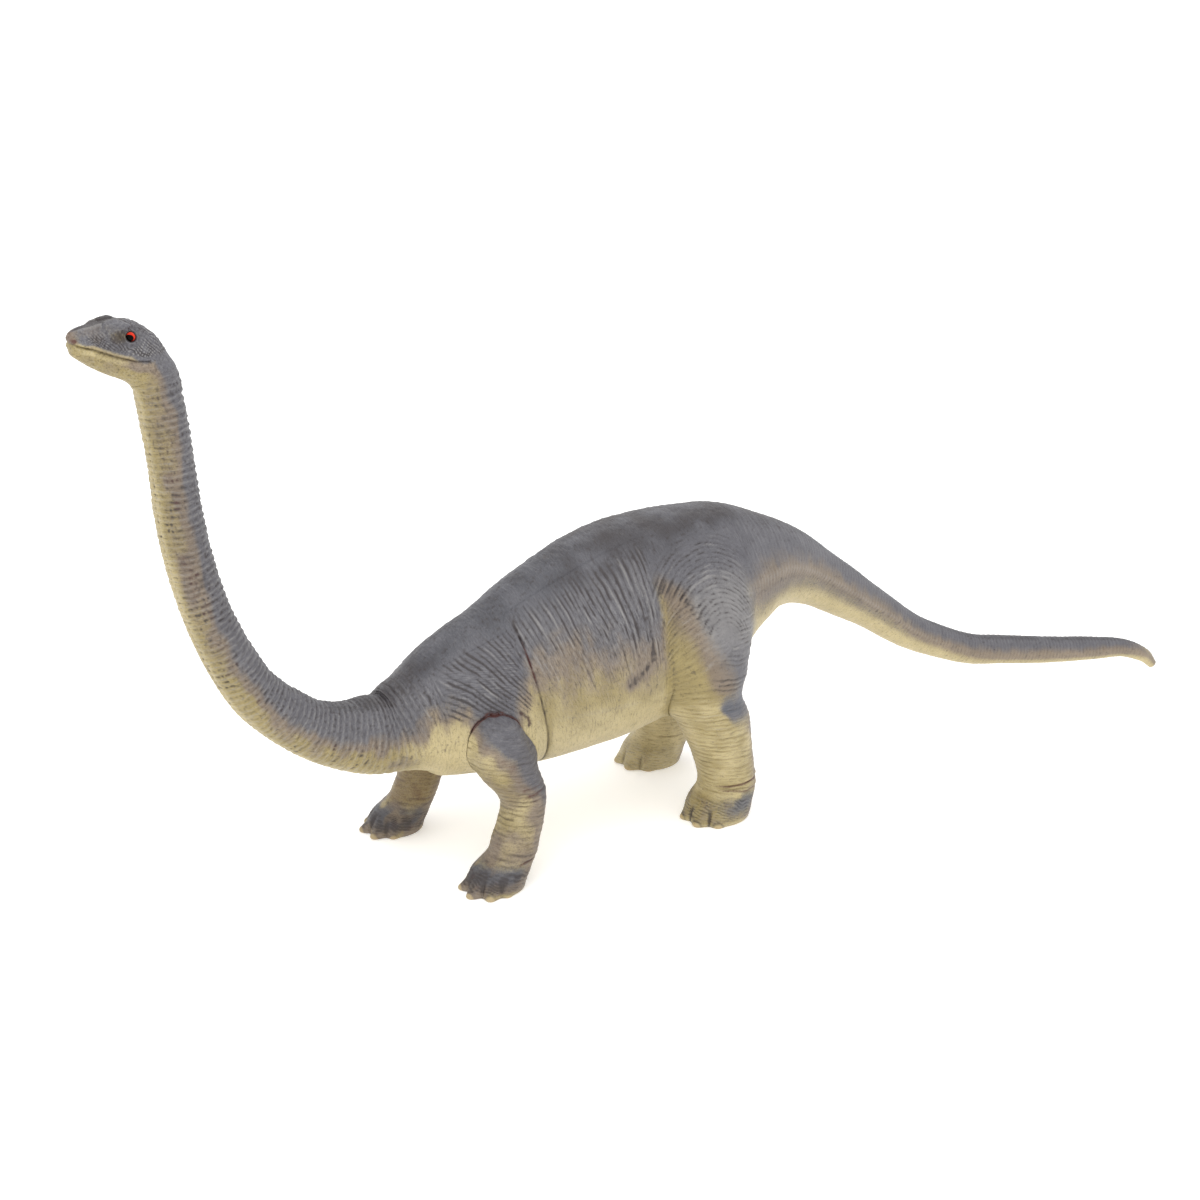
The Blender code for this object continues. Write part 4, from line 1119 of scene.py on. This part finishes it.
def body_sheet(first, last, row_step, columns, legs=None, head=False):
    """The sheet of one length of the body, with its relief and paint."""
    s, angle = grid(np.linspace(first, last, round((last - first) / row_step) + 1), columns)
    start, outward = BODY.place(s, angle)
    front = legs is FRONT_LEGS

    def fields(points, own):
        total, other = own, np.full(own.shape, FAR_OFF)
        for limb in (legs or {}).values():
            field = limb.field(points)
            total = soft_min(total, field, leg_reach(points, front))
            other = np.minimum(other, field)
        if head:
            field = HEAD_FORM.field(points)
            total, other = soft_min(total, field, HEAD_REACH), np.minimum(other, field)
        return total, own, other

    t, shown, gap = settle(start, outward, fields)
    points = start + outward * t[..., None]
    height, paints = body_skin(points, s, angle)
    if head:
        height, paints = mix((height, paints), head_skin(points), smooth(gap, -HEAD_FADE, HEAD_FADE))
    elif legs:
        height = seam_at_leg(points, gap, front, height, paints)
    return raised(points, outward, height * shown), paints


def seam_at_leg(points, gap, front, height, paints):
    """The line where a leg meets the body: a stained groove over a front leg, an olive crease before a
    thigh."""
    z = points[..., 2]
    if front:
        top = smooth(z, 48.5, 54)
        where = smooth(z, 44, 51) * (0.25 + 0.75 * top)
        groove = where * bump(gap, 0, 0.35 + 0.45 * top)
        stain = 1.3 * groove * (0.8 + 0.3 * noise(points, 1.8, 80))
        paints.rust = np.maximum(paints.rust, stain)
        paints.wash_and_painted_shade += 0.2 * groove + 0.5 * groove * top
        return height * (1 - 0.8 * bump(gap, 0, 1.2) * where) - 0.36 * groove
    where = smooth(without_stride(points, HIND_STRIDE), -15, -20) * smooth(z, 90, 80)
    groove = where * bump(gap, 0, 0.8)
    paints.olive += 0.9 * groove
    paints.wash_and_painted_shade += 0.25 * groove
    return height - 0.25 * groove


def leg_sheet(limb, front, columns):
    """The sheet of one leg, from the sole up to the top of the limb inside the body."""
    # Rows close together at the sole, then fine over the foot and coarser above it
    fine, coarse, ankle = (0.34, 0.42, 12.0) if front else (0.34, 0.47, 14.0)
    foot, shin = np.arange(1.0, ankle, fine), np.arange(ankle, limb.top + 1.0, coarse)
    z, turn = grid(np.concatenate([(0.02, 0.1, 0.25, 0.45, 0.7), foot, shin]), columns)
    start, outward = limb.place(z, turn)
    # Rows high enough for the body to matter, and the length of the body that a leg can touch
    near_body = z[:, 0] > (30 if front else 34)
    window = (BODY.knots[NECK_JOIN] - 12, BODY.knots[TAIL_JOIN] + 10)

    def fields(points, _):
        own, other = limb.field(points), np.full(points.shape[:-1], FAR_OFF)
        other[near_body] = BODY.coords(points[near_body], *window)[2]
        total = np.where(other < FAR_OFF / 2, soft_min(own, other, leg_reach(points, front)), own)
        return total, own, other

    t, shown, gap = settle(start, outward, fields)
    # The edge of the sole is rounded
    edge = np.clip(1 - z / 0.9, 0, 1)
    t = t - 0.6 * (1 - np.sqrt(1 - edge**2))
    points = start + outward * t[..., None]
    z = points[..., 2]
    height, paints = leg_skin(limb, points, front)
    if not front:
        # The body's folds run on over the thigh
        s, angle, _ = BODY.coords(points, *window)
        height, paints = mix((height, paints), body_skin(points, s, angle), smooth(z, 42, 52))
    height = seam_at_leg(points, gap, front, height, paints)
    points = raised(points, outward, height * shown * smooth(z, 0.1, 1.4))
    points[..., 2] = np.maximum(points[..., 2], 0.02)
    return points, paints


def head_sheet(rows, columns):
    """The sheet of the head, its rows closer together towards the snout."""
    length = HEAD_FORM.length - HEAD_FORM.start
    x, turn = grid(HEAD_FORM.start + np.linspace(0, 1, rows) ** 1.15 * length, columns)
    start, outward = HEAD_FORM.place(x, turn)

    def fields(points, _):
        own, other = HEAD_FORM.field(points), BODY.coords(points, *NECK_TOP)[2]
        return soft_min(own, other, HEAD_REACH), own, other

    t, shown, gap = settle(start, outward, fields, 15.0)
    points = start + outward * t[..., None]
    s, angle, _ = BODY.coords(points, *NECK_TOP)
    share = smooth(-gap, -HEAD_FADE, HEAD_FADE)
    height, paints = mix(body_skin(points, s, angle), head_skin(points), share)
    return raised(points, outward, height * shown), paints


def linear(code):
    """An sRGB hex colour as linear red, green and blue."""
    parts = [int(code[k : k + 2], 16) / 255 for k in (0, 2, 4)]
    return [c / 12.92 if c <= 0.04045 else ((c + 0.055) / 1.055) ** 2.4 for c in parts]


class Nodes:
    """A new material, with short ways to add and link its nodes. Inputs are values or other outputs."""

    def __init__(self, name):
        self.material = bpy.data.materials.new(name)
        self.material.use_nodes = True
        self.tree = self.material.node_tree
        self.tree.nodes.clear()
        self.place = self.add("TexCoord").outputs["Object"]

    def add(self, kind, inputs=None, **settings):
        node = self.tree.nodes.new(f"ShaderNode{kind}")
        for name, value in settings.items():
            setattr(node, name, value)
        for name, value in (inputs or {}).items():
            socket = node.inputs[name]
            if isinstance(value, bpy.types.NodeSocket):
                self.tree.links.new(value, socket)
            else:
                socket.default_value = (*value, 1) if socket.type == "RGBA" else value
        return node

    def attribute(self, name, output="Fac"):
        return self.add("Attribute", attribute_name=name).outputs[output]

    def noise(self, place, scale, detail, roughness=0.5):
        inputs = {"Vector": place, "Scale": scale, "Detail": detail, "Roughness": roughness}
        return self.add("TexNoise", inputs).outputs["Fac"]

    def math(self, operation, *values):
        return self.add("Math", dict(enumerate(values)), operation=operation).outputs[0]

    def ramp(self, value, low, high, to=(0.0, 1.0), **settings):
        inputs = {"Value": value, "From Min": low, "From Max": high, "To Min": to[0], "To Max": to[1]}
        return self.add("MapRange", inputs, **settings).outputs[0]

    def mix(self, share, under, over):
        return self.add("Mix", {0: share, 6: under, 7: over}, data_type="RGBA").outputs[2]

    def bump(self, height, strength, distance):
        inputs = {"Height": height, "Strength": strength, "Distance": distance}
        return self.add("Bump", inputs).outputs[0]

    def finish(self, inputs):
        """The material, with one shader of these inputs."""
        shader = self.add("BsdfPrincipled", inputs)
        self.add("OutputMaterial", {"Surface": shader.outputs[0]})
        return self.material


def painted_pvc(name):
    """Satin spray paint over moulded PVC: a soft sheen, thin coats that fade into each other, a dark wash
    left in the grooves and a paler dry brush over the crests. In places the wash also lays painted shade, and
    the dry brush painted highlights."""
    if name in bpy.data.materials:
        return bpy.data.materials[name]
    paint = bpy.context.scene.dinosaur_paint
    nodes = Nodes(name)
    # Paint mottles are about 6 mm, the spray's speckle about 0.5 mm, the grain of the skin about 0.35 mm
    broad = nodes.noise(nodes.place, 160.0, 3.0)
    speckle = nodes.noise(nodes.place, 2000.0, 2.0)
    grain = nodes.noise(nodes.place, 2900.0, 2.0)
    # Fibrous lines run along the folds: flow is in millimetres across and along them, and the lines are
    # about 0.5 mm apart and 2.5 mm long
    flow = {"Vector": nodes.attribute("flow", "Vector"), "Scale": (2.1, 0.42, 1.0)}
    fibre = nodes.noise(nodes.add("Mapping", flow).outputs[0], 1.0, 3.0, 0.6)

    def coat(under, name, shade, strength):
        """Lays a coat where its attribute is strong, its edge broken by speckle and its colour by mottle."""
        rough = nodes.math("SUBTRACT", speckle, 0.5)
        edge = nodes.math("MULTIPLY_ADD", rough, 0.5, nodes.attribute(name))
        mask = nodes.ramp(edge, 0.06, 0.95, interpolation_type="SMOOTHSTEP")
        share = nodes.math("MULTIPLY", mask, strength)
        return nodes.mix(share, under, nodes.mix(broad, getattr(paint, name), linear(shade)))

    colour = nodes.mix(broad, paint.cream, linear("A99A70"))
    colour = coat(colour, "olive", "7A6B3F", 0.8)
    colour = coat(colour, "mauve", "64564F", 0.8)
    colour = coat(colour, "grey", "504F55", 1.0)
    colour = coat(colour, "blue", "454850", 0.9)
    lined = nodes.attribute("lined")
    dark, pale = nodes.math("MULTIPLY", lined, 0.75), nodes.math("MULTIPLY", lined, 0.32)
    colour = nodes.mix(nodes.ramp(fibre, 0.50, 0.30, (0.0, dark)), colour, paint.wash_and_painted_shade)
    colour = nodes.mix(nodes.ramp(fibre, 0.52, 0.70, (0.0, pale)), colour, paint.dry_brush_and_painted_highlight)
    # Pits where the wash has dried, about 0.5 mm apart
    colour = nodes.mix(nodes.ramp(speckle, 0.40, 0.30, (0.0, 0.45)), colour, paint.wash_and_painted_shade)
    colour = coat(colour, "dry_brush_and_painted_highlight", "878481", 0.50)
    colour = coat(colour, "wash_and_painted_shade", "38302F", 0.85)
    colour = coat(colour, "rust", "5A2A22", 0.85)
    colour = coat(colour, "nail", "B09A72", 0.85)
    height = nodes.math("MULTIPLY_ADD", fibre, 1.5, grain)
    sheen = (paint.roughness - 0.05, paint.roughness + 0.07)
    inputs = {"Base Color": colour, "Roughness": nodes.ramp(speckle, 0.3, 0.7, sheen)}
    inputs["Normal"] = nodes.bump(height, 0.6, 0.00018)
    # PVC under paint has the usual IOR of plastic
    return nodes.finish(inputs | {"IOR": 1.5, "Specular IOR Level": 0.5})


def glossy_enamel(name):
    """Enamel on the eyeball: a black pupil in a red ring, smooth but with little glare."""
    if name in bpy.data.materials:
        return bpy.data.materials[name]
    paint = bpy.context.scene.dinosaur_paint
    nodes = Nodes(name)
    # Brush marks in the red are about 0.3 mm. The pupil ends 1 mm from its middle and the red at 1.75 mm
    red = nodes.mix(nodes.noise(nodes.place, 3300.0, 2.0), paint.eye_red, linear("B3281A"))
    away = nodes.attribute("from_pupil")
    inner = nodes.mix(nodes.ramp(away, 0.98, 1.08), linear("0B0908"), red)
    colour = nodes.mix(nodes.ramp(away, 1.7, 1.8), inner, linear("33241C"))
    return nodes.finish({"Base Color": colour, "Roughness": 0.22, "Specular IOR Level": 0.04})


def size_property(name, description, default):
    """The property for a size or distance, in metres."""
    return FloatProperty(name=name, description=description, default=default, unit="LENGTH")


def colour_property(name, description, code):
    """The property for a colour of paint, given as sRGB hex."""
    colour = {"default": linear(code), "subtype": "COLOR", "min": 0, "max": 1}
    return FloatVectorProperty(name=name, description=description, **colour)


class ReliefSettings(bpy.types.PropertyGroup):
    """Sizes of the moulded relief"""

    ring_pitch: size_property("Neck ring pitch", "Distance between the rings on the neck", 0.00205)
    ring_depth: size_property("Neck ring depth", "Depth of the rings on the neck", 0.00030)
    fold_depth: size_property("Fold depth", "Depth of the folds on shoulder, flank and hip", 0.00056)
    wrinkle_depth: size_property("Wrinkle depth", "Depth of the fine wrinkles under the belly", 0.00012)
    leg_ring_depth: size_property("Leg ring depth", "Depth of the rings on the legs", 0.00036)
    grain_depth: size_property("Grain depth", "Height of the fine grain of the skin", 0.000035)


class PaintSettings(bpy.types.PropertyGroup):
    """Colours of the coats of paint"""

    cream: colour_property("Cream", "Underside", "C8B88A")
    olive: colour_property("Olive", "Shade over the cream", "98874F")
    mauve: colour_property("Mauve brown", "Edge of the grey", "807168")
    grey: colour_property("Grey", "Coat on the back", "69686D")
    blue: colour_property("Blue grey", "Patches on the feet", "575B65")
    dry_brush_and_painted_highlight: colour_property("Dry brush", "Highlights on crests", "A5A29E")
    wash_and_painted_shade: colour_property("Wash", "Dark left in grooves", "2A2222")
    rust: colour_property("Rust", "Stain in creases", "3E1914")
    nail: colour_property("Nail", "Tips of the toes", "B5A47E")
    eye_red: colour_property("Eye red", "Ring round the pupil", "E8452F")
    roughness: FloatProperty(
        name="Roughness",
        description="Roughness of the satin paint",
        default=0.46,
        subtype="FACTOR",
        min=0.05,
        max=1,
    )


class StageSettings(bpy.types.PropertyGroup):
    """Camera and light"""

    azimuth: FloatProperty(
        name="Azimuth", description="Camera's bearing", default=math.radians(-33.0), subtype="ANGLE"
    )
    elevation: FloatProperty(
        name="Elevation", description="Camera's height angle", default=math.radians(20.4), subtype="ANGLE"
    )
    distance: size_property("Distance", "Camera's distance from its aim", 0.608)
    lens: FloatProperty(
        name="Lens", description="Focal length on a 36 mm sensor", default=60.0, unit="CAMERA"
    )
    floor_size: size_property("Floor", "Length of the floor", 40.0)
    key_power: FloatProperty(
        name="Key light", description="Power of the soft box above", default=3.4, subtype="POWER"
    )
    sky: FloatProperty(name="Sky", description="Strength of the white surround", default=1.04)


class DINOSAUR_OT_neck_and_head(bpy.types.Operator):
    """Make the neck and head moulding"""

    bl_idname = "dinosaur.neck_and_head"
    bl_label = "Neck and head"

    def execute(self, context):
        neck = body_sheet(BODY.knots[0], BODY.knots[NECK_JOIN], 0.31, 156, head=True)
        add_skin("neck", neck, (OPEN_RIM, CRISP_RIM), "neck", "neck_and_head")
        add_skin("head", head_sheet(150, 190), (OPEN_RIM, OPEN_RIM), "neck", "neck_and_head")
        return {"FINISHED"}


class DINOSAUR_OT_eyes(bpy.types.Operator):
    """Make the two eyeballs, set in their sockets"""

    bl_idname = "dinosaur.eyes"
    bl_label = "Eyes"

    def execute(self, context):
        for side, word in ((-1, "left"), (1, "right")):
            centre = HEAD_PLACE + np.array((EYE[0], side * EYE[1], EYE[2]))
            bm = bmesh.new()
            bmesh.ops.create_uvsphere(bm, u_segments=64, v_segments=32, radius=EYE_RADIUS * MM)
            # Blender orders these faces anew each time, so they are sorted by their corners, under 2000 in all
            bm.verts.index_update()
            bm.faces.sort(key=lambda face: sum(vert.index * 2000**k for k, vert in enumerate(face.verts)))
            # The cornea bulges out of the ball where it faces sideways
            for vert in bm.verts:
                facing = max(side * vert.co.y / (EYE_RADIUS * MM), 0)
                vert.co.y *= 1 + 0.10 * facing**6
            bmesh.ops.translate(bm, verts=bm.verts, vec=Vector(centre) * MM)
            layer = bm.verts.layers.float.new("from_pupil")
            for vert in bm.verts:
                x, y, z = (vert.co / MM) - Vector(centre)
                # The pupil looks a little ahead and down
                away = math.hypot(x + 0.60, z + 0.22)
                vert[layer] = away if side * y > 0 else 2.0
            mesh = bpy.data.meshes.new(f"{word}_eye")
            bm.to_mesh(mesh)
            bm.free()
            mesh.shade_smooth()
            mesh.materials.append(glossy_enamel("gloss_enamel_eye"))
            piece = add_object(f"{word}_eye", mesh)
            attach(piece, "root")
            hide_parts("neck_and_head")
        return {"FINISHED"}


class DINOSAUR_OT_chest(bpy.types.Operator):
    """Make the chest moulding"""

    bl_idname = "dinosaur.chest"
    bl_label = "Chest"

    def execute(self, context):
        sheet = body_sheet(BODY.knots[NECK_JOIN], BODY.knots[CHEST_JOIN], 0.28, 340, FRONT_LEGS)
        add_skin("chest_skin", sheet, (CRISP_RIM, SEAM_RIM), "body", "chest")
        return {"FINISHED"}


class DINOSAUR_OT_trunk(bpy.types.Operator):
    """Make the trunk moulding, with the root of the tail"""

    bl_idname = "dinosaur.trunk"
    bl_label = "Trunk"

    def execute(self, context):
        # Two sheets, so that each is fine enough for the folds
        first, middle, last = np.linspace(BODY.knots[CHEST_JOIN], BODY.knots[TAIL_JOIN], 3)
        front = body_sheet(first, middle, 0.30, 360, HIND_LEGS)
        add_skin("trunk_front_skin", front, (SEAM_RIM, OPEN_RIM), "body", "trunk")
        rear = body_sheet(middle, last, 0.30, 360, HIND_LEGS)
        add_skin("trunk_rear_skin", rear, (OPEN_RIM, CRISP_RIM), "body", "trunk")
        return {"FINISHED"}


class DINOSAUR_OT_tail_end(bpy.types.Operator):
    """Make the tail moulding"""

    bl_idname = "dinosaur.tail_end"
    bl_label = "Tail end"

    def execute(self, context):
        sheet = body_sheet(BODY.knots[TAIL_JOIN], BODY.knots[-1], 0.30, 130)
        add_skin("tail_end_skin", sheet, (CRISP_RIM, TIP_RIM), "tail", "tail_end")
        return {"FINISHED"}


class DINOSAUR_OT_front_legs(bpy.types.Operator):
    """Make the two front leg mouldings"""

    bl_idname = "dinosaur.front_legs"
    bl_label = "Front legs"

    def execute(self, context):
        for word, limb in FRONT_LEGS.items():
            name = f"front_{word}_leg"
            sheet = leg_sheet(limb, True, 190)
            add_skin(f"{name}_skin", sheet, (SOLE_RIM, OPEN_RIM), "front_leg", name)
        return {"FINISHED"}


class DINOSAUR_OT_hind_legs(bpy.types.Operator):
    """Make the two hind leg mouldings"""

    bl_idname = "dinosaur.hind_legs"
    bl_label = "Hind legs"

    def execute(self, context):
        for word, limb in HIND_LEGS.items():
            name = f"hind_{word}_leg"
            sheet = leg_sheet(limb, False, 210)
            add_skin(f"{name}_skin", sheet, (SOLE_RIM, OPEN_RIM), "hind_leg", name)
        return {"FINISHED"}


class DINOSAUR_OT_stage(bpy.types.Operator):
    """Make the floor, the light and the camera"""

    bl_idname = "dinosaur.stage"
    bl_label = "Stage"

    def execute(self, context):
        scene = context.scene
        stage = scene.dinosaur_stage
        bm = bmesh.new()
        bmesh.ops.create_grid(bm, x_segments=8, y_segments=8, size=stage.floor_size / 2)
        mesh = bpy.data.meshes.new("floor")
        bm.to_mesh(mesh)
        bm.free()
        # Matt white card with a tooth of about 1 mm, lit until it is almost paper white
        nodes = Nodes("white_card_floor")
        look = {"Base Color": linear("FBFAF8"), "Roughness": 0.9, "Specular IOR Level": 0.1}
        look |= {"Emission Color": (1, 1, 1), "Emission Strength": 0.3}
        look["Normal"] = nodes.bump(nodes.noise(nodes.place, 1000.0, 2.0), 0.1, 0.0001)
        mesh.materials.append(nodes.finish(look))
        add_object("floor", mesh)

        world = bpy.data.worlds.new("white_surround")
        world.use_nodes = True
        background = world.node_tree.nodes["Background"]
        background.inputs["Color"].default_value = (*linear("FFFFFF"), 1)
        background.inputs["Strength"].default_value = stage.sky
        scene.world = world

        for name, spot, size, power in (
            ("key_softbox", (-0.35, -0.45, 0.95), 0.8, stage.key_power),
            ("back_softbox", (0.35, 0.55, 0.8), 0.7, 0.45 * stage.key_power),
        ):
            data = bpy.data.lights.new(name, "AREA")
            data.shape = "SQUARE"
            data.size = size
            data.energy = power
            light = add_object(name, data)
            light.location = spot
            light.rotation_euler = (AIM - Vector(spot)).to_track_quat("-Z", "Y").to_euler()

        data = bpy.data.cameras.new("camera")
        data.lens = stage.lens
        data.sensor_width = 36
        data.clip_start = 0.01
        camera = add_object("camera", data)
        level = stage.distance * math.cos(stage.elevation)
        reach = Vector((math.sin(stage.azimuth), -math.cos(stage.azimuth), 0)) * level
        camera.location = AIM + reach + Vector((0, 0, stage.distance * math.sin(stage.elevation)))
        camera.rotation_euler = (AIM - camera.location).to_track_quat("-Z", "Y").to_euler()
        scene.camera = camera
        scene.view_settings.view_transform = "Standard"
        return {"FINISHED"}


class DINOSAUR_PT_panel(bpy.types.Panel):
    """Lists the pieces of the figure and its settings"""

    bl_label = "Toy dinosaur"
    bl_idname = "DINOSAUR_PT_panel"
    bl_space_type = "VIEW_3D"
    bl_region_type = "UI"
    bl_category = "Dinosaur"

    def draw(self, context):
        layout = self.layout
        for operator in OPERATORS:
            layout.operator(operator.bl_idname)
        scene = context.scene
        for group in (scene.dinosaur_relief, scene.dinosaur_paint, scene.dinosaur_stage):
            for name in type(group).__annotations__:
                layout.prop(group, name)


OPERATORS = (
    DINOSAUR_OT_stage,
    DINOSAUR_OT_neck_and_head,
    DINOSAUR_OT_eyes,
    DINOSAUR_OT_chest,
    DINOSAUR_OT_trunk,
    DINOSAUR_OT_tail_end,
    DINOSAUR_OT_front_legs,
    DINOSAUR_OT_hind_legs,
)
CLASSES = (ReliefSettings, PaintSettings, StageSettings, *OPERATORS, DINOSAUR_PT_panel)


def register():
    for cls in CLASSES:
        bpy.utils.register_class(cls)
    bpy.types.Scene.dinosaur_relief = PointerProperty(type=ReliefSettings)
    bpy.types.Scene.dinosaur_paint = PointerProperty(type=PaintSettings)
    bpy.types.Scene.dinosaur_stage = PointerProperty(type=StageSettings)


def unregister():
    del bpy.types.Scene.dinosaur_stage
    del bpy.types.Scene.dinosaur_paint
    del bpy.types.Scene.dinosaur_relief
    for cls in reversed(CLASSES):
        bpy.utils.unregister_class(cls)


def main():
    register()
    bpy.ops.dinosaur.stage()
    bpy.ops.dinosaur.neck_and_head()
    bpy.ops.dinosaur.eyes()
    bpy.ops.dinosaur.chest()
    bpy.ops.dinosaur.trunk()
    bpy.ops.dinosaur.tail_end()
    bpy.ops.dinosaur.front_legs()
    bpy.ops.dinosaur.hind_legs()


if __name__ == "__main__":
    main()
